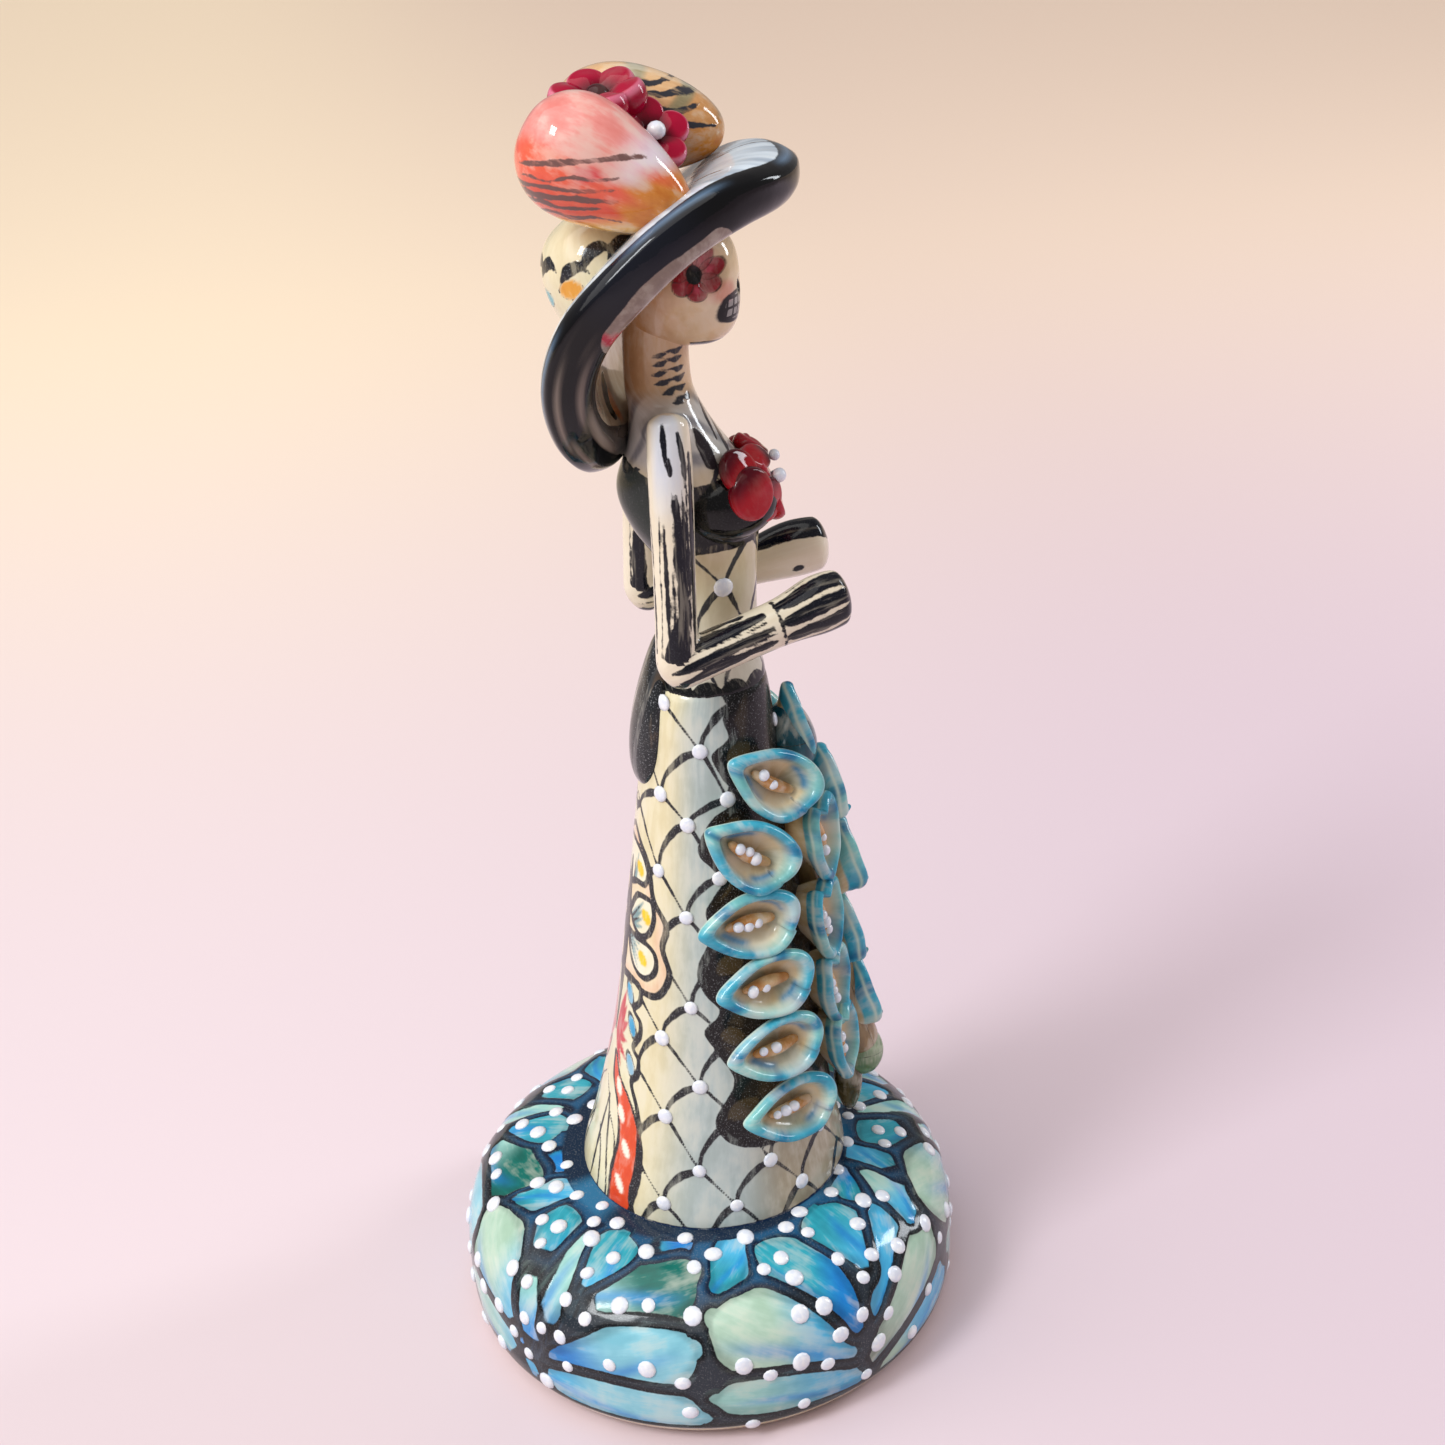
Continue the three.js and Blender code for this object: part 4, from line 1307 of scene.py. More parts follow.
def paint_torso(points):
    """Ground, tint, ink and brush way at places on the torso, arms and bust."""
    x, y = points[:, 0] / SHARE, points[:, 1] / SHARE
    level = (points[:, 2] - BASE_HEIGHT) / SHARE
    forward, half_width, _ = body_at(np.clip(level, 131, 218))
    angle = np.abs(np.arctan2(x, -(y + forward)))
    flat = np.stack([angle * half_width, level], -1)
    ground, tint, ink = paint_trunk(x, level, angle, flat)
    way = np.stack([flat[:, 0], level * 0.25, 0 * level], -1)
    closest = np.hypot(x, y + forward) - half_width
    for side in SIDES:
        for number, stations in enumerate((UPPER_ARM, FOREARM)):
            along, turn, off, length = limb_places(points, arm_stations(side, stations))
            mine = (off < closest + 0.2) & (off < 2.5) & (along > 0.3)
            round_arm = np.stack([turn * ARM_RADIUS, along], -1)
            seed = 20 + 3 * number + (side > 0)
            strokes = (upper_arm_marks, forearm_marks)[number](side, length, seed)
            marks = stroke_field(round_arm, strokes)
            if number:
                inward = np.cos(turn) * -side
                palm = (inward > 0.1) & (along > (WRIST - 0.2) * length)
                marks = np.where(palm, np.minimum(marks, 0.6 - inward * 5), marks)
            if number and side == LEFT:
                top_stroke = [(9.2, 0.45 * length, 0.8), (9.4, 0.7 * length, 2.2), (9.2, length + 2, 3.2)]
                spot = 0.95 - np.hypot((turn + math.radians(152)) * 5.5, (along - 0.83 * length) * 0.7)
                marks = np.maximum(np.maximum(marks, stroke_field(round_arm, [top_stroke])), spot)
            # Painted highlight: blue-white on the upper arms near the shoulders, for a window's
            # reflection.
            shoulder = smooth_step(along, 26, 10) * (number == 0)
            painted_shoulder_highlight = shoulder * smooth_step(np.sin(turn * 2 + 1), -0.5, 0.8) * 0.8
            ground[mine] = mix(BONE, paint("ccd3e0"), painted_shoulder_highlight)[mine]
            tint[mine] = paint("0f111b")
            ink[mine] = marks[mine]
            arm_way = np.stack([np.cos(turn) * 6, np.sin(turn) * 6, along * 0.12 + 40 * number], -1)
            way[mine] = arm_way[mine]
            closest = np.where(mine, np.minimum(closest, off), closest)
    return ground, tint, ink, way


def build_torso(settings):
    piece, points = blended("torso_and_arms", torso_forms(), 0.55, 5)
    for name, values in zip(("ground", "tint", "ink", "brush_way"), paint_torso(points)):
        add_values(piece.data, name, values)
    material = make_brushed_material("Bone Glaze", wash=0.18, streak=0.6, speckle=0.1, waver=0.9,
                                     dryness=0.2, roughness=0.07, coat=0.35)
    return settle(piece, material)


# Head

def head_places(points):
    """Places on the turned head: to her left, to the back, and level."""
    x, y = points[..., 0] / SHARE, points[..., 1] / SHARE + NECK_FORWARD
    c, s = math.cos(HEAD_TURN), math.sin(HEAD_TURN)
    return x * c - y * s, x * s + y * c, (points[..., 2] - BASE_HEIGHT) / SHARE


SKULL_MIDDLE = (0, -6, 222.6)
SKULL_RADII = (10.6, 12.3, 12.8)
SKULL_SQUARENESS = 3
JAW_TAPER = 0.2
EYE_BACK, EYE_LEVEL = -11.0, 227.0
GRIN_LEVEL, GRIN_HALF_WIDTH, GRIN_HALF_HEIGHT = 218.7, 7.0, 3.4
TOOTH_WIDTH, TOOTH_HEIGHT = 1.75, 2.0


def skull_grid():
    """A boxy ball that narrows to the jaw, and the same with its sockets, cheeks and nose dented in."""
    ball = ball_grid(190, 230)
    x, y, z = ball[..., 0], ball[..., 1], ball[..., 2]
    around = np.hypot(y, z)
    square = (np.abs(y) ** SKULL_SQUARENESS + np.abs(z) ** SKULL_SQUARENESS) ** (1 / SKULL_SQUARENESS)
    swell = np.where(square > 1e-6, around / np.maximum(square, 1e-6), 1)
    wide, deep, tall = SKULL_RADII
    jaw = 1 + JAW_TAPER * np.minimum(z, 0)
    shaped = np.stack([x * wide * jaw, y * deep * swell, z * tall * swell], -1)
    grid = orient(shaped * SHARE, on_head(*SKULL_MIDDLE), (0, 0, 1), head_way(1, 0, 0))
    across, back, level = head_places(grid)
    inward = on_head(*SKULL_MIDDLE) - grid
    inward /= np.linalg.norm(inward, axis=-1, keepdims=True)

    def dent(centre, radius, depth):
        gap = np.sqrt((across - centre[0]) ** 2 + (back - centre[1]) ** 2 + (level - centre[2]) ** 2)
        return depth * smooth_step(radius - gap, 0, radius * 0.75)

    sink = dent((0, -18.2, 222.4), 2.4, 0.8)
    for side in SIDES:
        sink = sink + dent((side * 8.9, -14.0, 227.6), 5.6, 1.9)
        sink = sink + dent((side * 9.2, -9.0, 216.5), 5.5, 0.9)
        sink = sink - dent((side * 9.6, -11.5, 221.8), 3.4, 0.4)
    return grid, grid + inward * sink[..., None]


def paint_head(across, back, level):
    """Ground and ink of the skull: petals round the eyes, nose, blush, grin, chin and temples."""
    # Painted shade: the skull goes from cream at the face to tan towards the back of the head.
    ground = mix(paint("dfc7a0"), paint("b5895d"), smooth_step(back, -12, 2))
    ink = np.full(back.shape, BARE)
    for side in SIDES:
        here = across * side > 2.5
        for i in range(7):
            turn = math.radians(i * 51.4 + 12)
            centre = (EYE_BACK + 3.5 * math.cos(turn), EYE_LEVEL + 3.3 * math.sin(turn))
            petal = np.where(here, 2.15 - np.hypot(back - centre[0], level - centre[1]), ABSENT)
            light = smooth_step(petal, 0.9, 2.0) * (0.25 + 0.45 * (i % 2))
            crimson = mix(paint("8f0b1b"), paint("d4566a"), light)
            ground = mix(ground, crimson, smooth_step(petal, -0.15, 0.2))
            ink = np.maximum(ink, 0.06 - np.abs(petal))
        socket = np.where(here, 2.0 - np.hypot(back - EYE_BACK, level - EYE_LEVEL), ABSENT)
        ink = np.maximum(ink, socket)
    wide, tall, rise = GRIN_HALF_WIDTH, GRIN_HALF_HEIGHT, level - GRIN_LEVEL
    oval = ((np.abs(across) / wide) ** 3 + (np.abs(rise) / tall) ** 3) ** (1 / 3)
    grin = np.where(back < -9, (1 - oval) * tall, ABSENT)
    beside = np.abs((across / TOOTH_WIDTH) % 1 - 0.5) * TOOTH_WIDTH
    above = np.abs((rise / TOOTH_HEIGHT) % 1 - 0.5) * TOOTH_HEIGHT
    tooth = np.minimum(np.minimum(0.62 - beside, 0.72 - above), grin - 0.7)
    ink = np.maximum(ink, np.where(grin > 0, np.minimum(grin, -tooth * 2), grin))
    ground = mix(ground, paint("8f8a86"), smooth_step(grin, -0.1, 0.2))
    for side in SIDES:
        slope = level - 222.4 + np.abs(across) * 0.3
        nostril = 1.1 - np.hypot((across - side * 1.1) * 1.3, slope)
        ink = np.maximum(ink, np.where(back < -14, nostril, ABSENT))
        blush = np.hypot((across - side * 6) * 0.8, level - 222.5)
        ground = mix(ground, paint("c2404a"), smooth_step(blush, 3.2, 1.2) * (back < -12) * 0.5)
    chin = np.where((back < -8) & (level < 213), 0.5 - np.abs(level - 211.2), ABSENT)
    temple = np.where(np.abs(across) > 3, 1.5 - np.hypot((back + 11.5) * 0.55, level - 232.0), ABSENT)
    return ground, np.maximum(np.maximum(ink, chin), temple)


def build_head(settings):
    plain, grid = skull_grid()
    across, back, level = head_places(plain)
    ground, ink = paint_head(across, back, level)
    way = np.stack([across, level * 0.4, back], -1)
    material = make_brushed_material("Face Glaze", wash=0.22, streak=0.3, speckle=0.05, waver=0.5,
                                     dryness=0.1, roughness=0.08, coat=0.35)
    paints = dict(ground=ground, tint=paint("0e0a0b"), ink=ink, brush_way=way)
    return painted_piece("skull", [grid], [paints], material)


# Hat

# The brim's middle line from front to back: millimetres to the back of her head, and level
BRIM_BEND = [
    (-31.5, 245.7), (-20, 244.3), (-10, 239.3), (0, 231), (9.5, 220.8), (14.6, 209.5), (15.4, 196.5),
    (12.6, 183),
]
BRIM_HALF_WIDTH = 32.0
BRIM_THICKNESS = 7.5
BRIM_RISE = 1.2
BRIM_CURL = 1.6

# Its section from the middle of its underside round the edge: share of the radius and of the thickness
BRIM_SECTION = [
    (0, -0.5), (0.4, -0.55), (0.62, -0.72), (0.8, -0.98), (0.91, -0.9), (0.975, -0.5), (0.99, 0),
    (0.97, 0.2), (0.9, 0.4), (0.78, 0.48), (0.5, 0.5), (0, 0.5),
]
# Crimson strokes under the brim, on both sides: millimetres round it, start, end and half-width
BRIM_CRIMSON = ((46, 15, 25, 1.6), (41, 15, 32, 2.2), (60, 16, 25, 1.4), (22, 16, 25, 1.0))


def brim_places(px, py, pz):
    """Bends a flat round slab over the head: px from side to side, py from front to back."""
    line = curve_points([on_head(0, back, level) for back, level in BRIM_BEND], 400)
    walked = line_length(line)
    wanted = (py + 1) / 2 * walked[-1]
    place, along = sample(wanted, walked, line), sample(wanted, walked, line_way(line))
    across = head_way(1, 0, 0)
    out = np.cross(across, along)
    rise = BRIM_RISE * np.abs(px) ** BRIM_CURL
    return (place + out * ((pz * BRIM_THICKNESS + rise) * SHARE)[..., None]
            + across * (px * BRIM_HALF_WIDTH * SHARE)[..., None])


def brim_streaks():
    """Fine strokes that run out over the brim's top."""
    rng = np.random.default_rng(8)
    strokes = []
    for _ in range(64):
        middle = rng.uniform(-math.pi, math.pi) * 25
        start = rng.uniform(9, 18)
        end = start + rng.uniform(8, 15)
        drift = rng.uniform(-1.5, 1.5)
        strokes.append([(middle, start, 0.1), (middle + drift, (start + end) / 2, rng.uniform(0.12, 0.36)),
                        (middle + drift * 1.5, end, 0.1)])
    return strokes


def paint_brim(turn, radius, side_up):
    """Ground, tint and ink of the brim, from the turn off her back, the radius and the height in it."""
    places = np.stack([turn * 25, radius * BRIM_HALF_WIDTH], -1)
    under = side_up < -0.05
    # Painted shade and sheen: under the brim a taupe darker than its cream paint. The top's pale
    # blue-white is partly its pale paint and partly a painted reflection.
    ground = mix(paint("8a786c"), paint("d5e0ea"), smooth_step(side_up, -0.1, 0.2))
    flecks = smooth_step(np.sin(turn * 19) + np.sin(turn * 47) * 0.7, -0.6, 0.8)
    spangle = smooth_step(radius, 0.7, 0.88) * flecks
    ground = mix(ground, paint("6b7c92"), spangle * (side_up > 0) * 0.55)
    beside_face = smooth_step(np.abs(np.abs(turn) - 1.93), 0.66, 0.36)
    band_foot = (side_up + 0.6 + 0.05 * np.sin(turn * 11)) * BRIM_THICKNESS + 6 * (1 - beside_face)
    inner = 0.81 + 0.02 * np.sin(turn * 5)
    under_ink = np.minimum((radius - inner) * BRIM_HALF_WIDTH, band_foot)
    ink = np.where(under, under_ink, (radius - 0.905 + 0.012 * np.sin(turn * 7)) * BRIM_HALF_WIDTH)
    marks = grid_strokes(places, brim_streaks(), 1.5)
    ink = np.maximum(ink, np.where(under, BARE, marks))

    crimson = np.zeros(turn.shape)
    for beside, start, end, width in BRIM_CRIMSON:
        for middle in (-beside, beside):
            stroke = [(middle, start, width * 0.5), (middle + 2, (start + end) / 2, width),
                      (middle + 3, end, 0.2)]
            laid = smooth_step(grid_strokes(places, [stroke]), -0.3, 0.3)
            crimson = np.maximum(crimson, laid * under)
    ground = mix(ground, paint("c2ad90"), under * smooth_step(np.abs(turn), 1.2, 0.5) * 0.8)
    ground = mix(ground, paint("b3203a"), crimson)
    back_tip = under & (np.abs(turn) < 0.7)
    blot = 3.4 - np.hypot(turn * 25 + 5, (radius * BRIM_HALF_WIDTH - 20) * 0.8)
    glow = 2.2 - np.hypot(turn * 25 + 1.5, (radius * BRIM_HALF_WIDTH - 22) * 0.7)
    blot, glow = np.where(back_tip, blot, ABSENT), np.where(back_tip, glow, ABSENT)
    ground = mix(ground, paint("cf7a34"), smooth_step(glow, -0.5, 0.8))
    ink = np.maximum(ink, np.where(glow > 0, -glow, blot))

    tint = mix(paint("060609"), paint("191d2a"), smooth_step(np.sin(turn * 3 + 1), 0.3, 1.0) * 0.5)
    # Painted sheen: long grey-brown streaks along the rim on the brim's underside, towards her back.
    sheen_waves = np.sin(side_up * 10 + turn * 3.1) + 0.5 * np.sin(side_up * 23 - turn * 5)
    painted_streaky_sheen = smooth_step(sheen_waves, 0.1, 1.3) * smooth_step(np.abs(turn), 1.6, 1.0)
    tint = mix(tint, paint("94867a"), painted_streaky_sheen * under * 0.75)
    gleam = np.exp(-((side_up - 0.3) / 0.06) ** 2) * (radius > 0.9)
    gleam = gleam * smooth_step(np.sin(turn * 6 + 2), -0.6, 0.6)
    tint = mix(tint, paint("8fb3d8"), gleam * 0.35)
    tint = mix(tint, paint("4a3c33"), smooth_step(marks, -0.4, 0.1) * (side_up > 0.3))
    return ground, tint, ink


def build_brim(settings):
    cols, rows = 260, 120
    fine = curve_points(BRIM_SECTION, 800)
    walked = added_up(np.hypot(np.diff(fine[:, 0]), np.diff(fine[:, 1]) * 0.25))
    flat = turned_grid(sample(np.linspace(0, walked[-1], rows), walked, fine), cols)
    grid = brim_places(flat[..., 0], flat[..., 1], flat[..., 2])
    radius, side_up = np.hypot(flat[..., 0], flat[..., 1]), flat[..., 2]
    turn = np.arctan2(flat[..., 0], flat[..., 1])
    ground, tint, ink = paint_brim(turn, radius, side_up)
    way = np.stack([turn * 25, radius * 6, side_up * 4], -1)
    material = make_brushed_material("Hat Glaze", wash=0.2, streak=0.6, speckle=0.0, waver=0.5,
                                     dryness=0.0, roughness=0.05, coat=0.4)
    paints = dict(ground=ground, tint=tint, ink=ink, brush_way=way)
    return painted_piece("hat_brim", [grid], [paints], material)


def above_brim(grid):
    """The same form with what would hang below the brim tucked up into the brim's clay."""
    _, back, level = head_places(grid)
    line = curve_points(BRIM_BEND, 500)
    tangents = line_way(line)
    flat = np.stack([back.ravel(), level.ravel()], -1)
    nearest = np.argmin(((flat[:, None] - line) ** 2).sum(2), axis=1)
    out = np.stack([-tangents[nearest, 1], tangents[nearest, 0]], -1)
    out = np.where(out[:, 1:] < 0, -out, out)
    off = ((flat - line[nearest]) * out).sum(1).reshape(back.shape)
    out = out.reshape(back.shape + (2,))
    lift = np.maximum(0.3 - off, 0) * SHARE
    rise = head_way(0, 1, 0) * out[..., :1] + UP * out[..., 1:]
    return grid + rise * lift[..., None]


# The dome's outline from inside the brim to its top: radius and height
DOME_OUTLINE = [
    (0, -6), (8, -6), (11.5, -6), (12.9, -3.5), (13.6, 0), (13.9, 4), (13, 9.5), (10, 13.8),
    (5, 16.3), (0, 16.8),
]
DOME_RADIUS = 13.5
DOME_STROKES, DOME_SPOTS = 13, 9


def build_hat_dome(settings):
    """The hat's cream dome, with a ring of dark strokes over ochre and blue spots."""
    outline = curve_points(DOME_OUTLINE, 90)
    outline[:, 0] = np.maximum(outline[:, 0], 0)
    outline[0, 0] = outline[-1, 0] = 0
    middle, facing = on_head(0, 6.9, 222), head_way(0, 0.3, 0.95)
    grid = above_brim(orient(turned_grid(outline * SHARE, 120), middle, facing, (1, 0, 0)))
    shape = grid.shape[:2]
    turn = np.broadcast_to(np.linspace(0, 2 * math.pi, shape[1], endpoint=False), shape)
    climb = np.broadcast_to(outline[:, 1][:, None], shape)
    places = np.stack([turn * DOME_RADIUS, climb], -1)
    ground = paint("dfd3b0")
    rng = np.random.default_rng(14)
    strokes = []
    for i in range(DOME_STROKES):
        x = (i + rng.uniform(-0.3, 0.3)) / DOME_STROKES * 2 * math.pi * DOME_RADIUS
        y = rng.uniform(7.5, 10.5)
        strokes.append([(x - 3.4, y - 1.5, 0.3), (x - 1, y + 0.8, 1.3), (x + 2.0, y + 1.2, 1.0),
                        (x + 4, y - 0.6, 0.2)])
    ink = grid_strokes(places, strokes)
    for i in range(DOME_SPOTS):
        colour = paint("dd9a36") if i % 2 else paint("3fa3b3")
        centre = (4 + i * 9.4, 3.5 + (i % 2) * 1.5)
        gap = np.hypot((places[..., 0] - centre[0]) / 1.5, places[..., 1] - centre[1])
        ground = mix(ground, colour, smooth_step(gap, 2.1, 1.6))
        ink = np.where(gap < 2.2, 0.3 - np.abs(gap - 2.2), ink)
    way = np.stack([np.cos(turn) * 12, np.sin(turn) * 12, climb * 0.3], -1)
    material = make_brushed_material("Hat Dome Glaze", wash=0.22, streak=0.5, speckle=0.5, waver=0.9,
                                     dryness=0.3, roughness=0.08, coat=0.35)
    paints = dict(ground=ground, tint=paint("26262a"), ink=ink, brush_way=way)
    return painted_piece("hat_dome", [grid], [paints], material)


# The bow's lobes: middle, facing, lead, radii, taper and bluntness
BOW_LOBES = [
    (on_head(-15, 4.4, 248.8), head_way(-1, 0, 0.2), head_way(0.1, -0.88, -0.5),
     (17.8, 11.3, 10.8), 0.4, 2.7),
    (on_head(13, 2.5, 252.5), head_way(1, 0, 0.3), head_way(0, -0.97, -0.2),
     (17.5, 10.5, 10.5), 0.2, 2.2),
]

# Its streaks: height on the lobe and half-width
NEAR_STREAKS = ((-0.68, 0.5), (-0.46, 0.55), (-0.28, 0.85), (-0.1, 0.6), (0.06, 0.4), (0.38, 0.7))
FAR_STREAKS = ((0.05, 0.9), (0.32, 0.7), (0.6, 0.6), (0.85, 0.5))


def near_lobe_ground(along, height, stain):
    """Coral that turns to ochre at the foot, with a pale pink-white sheen painted across the middle and a
    red flush in it.
    """
    ground = mix(paint("e4644a"), paint("e8958c"), smooth_step(height + stain, 0.2, 0.9))
    ground = mix(ground, paint("e9b25a"), smooth_step(height, -0.55, -1.0))
    ochre = smooth_step(along + stain, 0.35, 0.8) * smooth_step(height, 0.45, -0.1)
    ground = mix(ground, paint("d98a3a"), ochre)
    # Painted sheen: a pale pink-white patch across the lobe's middle.
    pale = smooth_step(along, 0.0, 0.45) * smooth_step(height + stain * 0.5, -0.1, 0.35)
    ground = mix(ground, paint("e3d6df"), pale * smooth_step(along, 1.0, 0.6) * 0.95)
    flush = np.hypot((along + 0.05) * 1.4, height - 0.2 + stain * 0.4)
    return mix(ground, paint("d42c3c"), smooth_step(flush, 0.3, 0.12) * 0.9)


def far_lobe_ground(along, across, height, stain):
    """Tan and cream with olive shadows, a pink patch and an ochre tip."""
    ground = mix(paint("c98f55"), paint("dcb283"), smooth_step(height + stain, -0.2, 0.6))
    green = smooth_step(np.sin(along * 9 + across * 5 + 1), 0.2, 0.9) * smooth_step(height, -0.1, 0.3)
    ground = mix(ground, paint("7f8468"), green * 0.75)
    pink = smooth_step(np.hypot(along - 0.2, height + 0.15), 0.45, 0.2)
    ground = mix(ground, paint("e0c3cc"), pink)
    ochre = smooth_step(along + stain, 0.45, 0.85) * smooth_step(height, 0.1, -0.3)
    return mix(ground, paint("d2831f"), ochre)


def bow_streaks(number):
    """Brush strokes along a lobe, each through six points."""
    rng = np.random.default_rng(40 + number)
    strokes = []
    for band, width in (NEAR_STREAKS, FAR_STREAKS)[number]:
        y = band * 11
        first, last = rng.uniform(-16, -12), rng.uniform(3, 9)
        if number:
            first, last = rng.uniform(-8, 0), rng.uniform(11, 15)
        steps = [first + (last - first) * k / 5 for k in range(6)]
        strokes.append([(step, y + rng.uniform(-0.7, 0.7) - 0.1 * step * (band < 0.2),
                         width * (0.2 if k in (0, 5) else rng.uniform(0.7, 1.2)))
                        for k, step in enumerate(steps)])
    return strokes


def build_bow(settings):
    """The two swelling lobes of the bow over the hat's dome, brushed in coral, pink and ochre."""
    forms, paints = [], []
    for number, (centre, facing, lead, radii, taper, blunt) in enumerate(BOW_LOBES):
        rows, cols = 100, 150
        grid = blob_grid(centre, radii, facing, lead, taper, rows, cols, blunt)
        ball = ball_grid(rows, cols)
        along, across, out = ball[..., 0], ball[..., 1], ball[..., 2]
        fold = 0.35 * np.sin(across * 9 + along * 2) * smooth_step(along, 0.2, -0.9)
        grid = grid + unit(facing) * fold[..., None] * 0.8
        height = (grid[..., 2] - centre[2]) / 10
        stain = 0.25 * np.sin(along * 5 + height * 3) + 0.15 * np.sin(across * 11)
        ink = grid_strokes(np.stack([along * 16, height * 11], -1), bow_streaks(number))
        if number:
            ground = far_lobe_ground(along, across, height, stain)
        else:
            ground = near_lobe_ground(along, height, stain)
        way = np.stack([along * 3, across * 9, out * 9], -1)
        tint = paint(("745550", "34343a")[number])
        forms.append(grid)
        paints.append(dict(ground=ground, tint=tint, ink=ink - 0.05, brush_way=way))
    material = make_brushed_material("Bow Glaze", wash=0.4, streak=0.4, speckle=0.0, waver=1.3,
                                     dryness=0.8, roughness=0.06, coat=0.4)
    return painted_piece("hat_bow", forms, paints, material)


def flower_petal(centre, radii, facing, lead, tone):
    """One plump petal, dished in the middle, with painted shade towards the flower's hollow middle and a
    pink edge painted as a highlight.
    """
    rows, cols = 30, 40
    ball = ball_grid(rows, cols)
    along, across, out = ball[..., 0], ball[..., 1], ball[..., 2]
    dish = smooth_step(out, 0.3, 1.0)
    grid = blob_grid(centre, radii, facing, lead, 0, rows, cols)
    grid = grid - unit(facing) * (dish * radii[2] * 0.38)[..., None]
    # Painted highlight: pale pink along the petal's edge.
    rim = smooth_step(np.abs(out - 0.3), 0.32, 0.05) * smooth_step(along, -0.3, 0.5)
    ground = mix(paint("a00a30"), paint("a80812"), tone)
    # Painted shade: the petal darkens towards the flower's hollow middle.
    ground = mix(ground, paint("4e0414"), smooth_step(along, 0.1, -0.8))
    ground = mix(ground, paint("e0809a"), rim * 0.75 * (1 - tone))
    way = np.stack([along * 2, across * 8, out * 8], -1)
    return grid, dict(ground=ground, tint=paint("000000"), ink=BARE, brush_way=way)


def petal_ring(centre, facing, lead, petals, reach, radii, cup):
    """Places, radii, facings and leads of round petals in a ring."""
    axis = unit(facing)
    first = square_to(axis, lead)
    second = np.cross(axis, first)
    made = []
    for i in range(petals):
        turn = i / petals * 2 * math.pi
        outward = first * math.cos(turn) + second * math.sin(turn)
        made.append((centre + outward * reach * SHARE, radii, axis - outward * cup, outward))
    return made


# The bust's loose petals: middle, radii, facing and lead
BUST_PETALS = [
    (at(-11.2, -15.6, 184.0), (5.2, 4.8, 3.2), (-0.75, -0.6, 0.45), (0.1, -0.5, -0.8)),
    (at(-12.6, -17.6, 179.4), (6.0, 5.6, 3.4), (-0.9, -0.5, 0.1), (0.2, -0.4, -1)),
    (at(-9.6, -21.4, 176.6), (5.0, 5.0, 3.2), (-0.7, -0.7, 0), (0.3, -0.2, -1)),
    (at(-5.2, -20.2, 184.3), (4.2, 3.4, 3.0), (-0.4, -0.6, 0.8), (-0.5, 0.3, 0.4)),
    (at(1.5, -21.0, 184.6), (4.2, 3.4, 3.0), (0.1, -0.6, 0.8), (0, 0.6, 0.6)),
    (at(7.5, -21.0, 181.0), (5.0, 4.2, 3.0), (0.5, -0.8, 0.4), (0.8, 0, 0.4)),
]
LARGE_FLOWER, LARGE_FACING = on_head(0, 8, 259.6), head_way(-0.2, 0.05, 1)
SMALL_FLOWER, SMALL_FACING = on_head(-2.0, -2.6, 252.6), head_way(-0.6, -0.45, 0.75)
BUST_FLOWER, BUST_FACING = at(0, -22.6, 177.6), (0, -1, 0.35)


def build_flowers(settings):
    """Crimson flowers: two on the hat and one on the bust."""
    material = make_brushed_material("Crimson Glaze", wash=0.05, streak=0.12, speckle=0.0, waver=0.0,
                                     dryness=0.0, roughness=0.05, coat=0.12, ripple=0.0003, shine=0.2)
    large = petal_ring(LARGE_FLOWER, LARGE_FACING, head_way(0, -1, 0), 6, 5.8, (4.2, 4.3, 4.3), 0.35)
    small = petal_ring(SMALL_FLOWER, SMALL_FACING, head_way(0, 1, 0), 5, 4.8, (3.5, 3.6, 3.2), 0.2)
    rose = petal_ring(BUST_FLOWER, BUST_FACING, (1, 0, 0), 5, 5.6, (4.8, 4.6, 3.4), 0.0) + BUST_PETALS
    # The flower's dark core is painted shade in its hollow middle.
    dark = paint("3c0310")
    for name, centre, facing, core_radii, petals, tone in (
        ("hat_flower_large", LARGE_FLOWER, LARGE_FACING, (2.7, 2.7, 2.6), large, 0.0),
        ("hat_flower_small", SMALL_FLOWER, SMALL_FACING, (2.4, 2.4, 1.6), small, 0.0),
        ("bust_flower", BUST_FLOWER, BUST_FACING, (4.5, 4.5, 2.6), rose, 0.85),
    ):
        forms, paints = zip(*[flower_petal(*petal, tone) for petal in petals])
        core = blob_grid(centre, core_radii, facing, (1, 0, 0.01))
        core_paint = dict(ground=dark, tint=dark, ink=BARE, brush_way=core)
        painted_piece(name, forms + (core,), paints + (core_paint,), material)


# Lilies

# A lily's section from its tip inside the funnel, over the lip and down into the bowl: radius and height
LILY_SECTION = [
    (0, -1), (0.4, -0.72), (0.62, -0.45), (0.84, -0.16), (0.97, -0.04), (1.03, 0.07), (1.0, 0.19),
    (0.9, 0.25), (0.78, 0.2), (0.67, 0.02), (0.5, -0.13), (0.26, -0.24), (0, -0.28),
]
# The turn from the tip to where the rim's ends meet
LILY_SEAM = math.radians(156)
# How high the lip stands in millimetres, at this height of the section
LILY_LIP = 2.4
LIP_TOP = 0.22


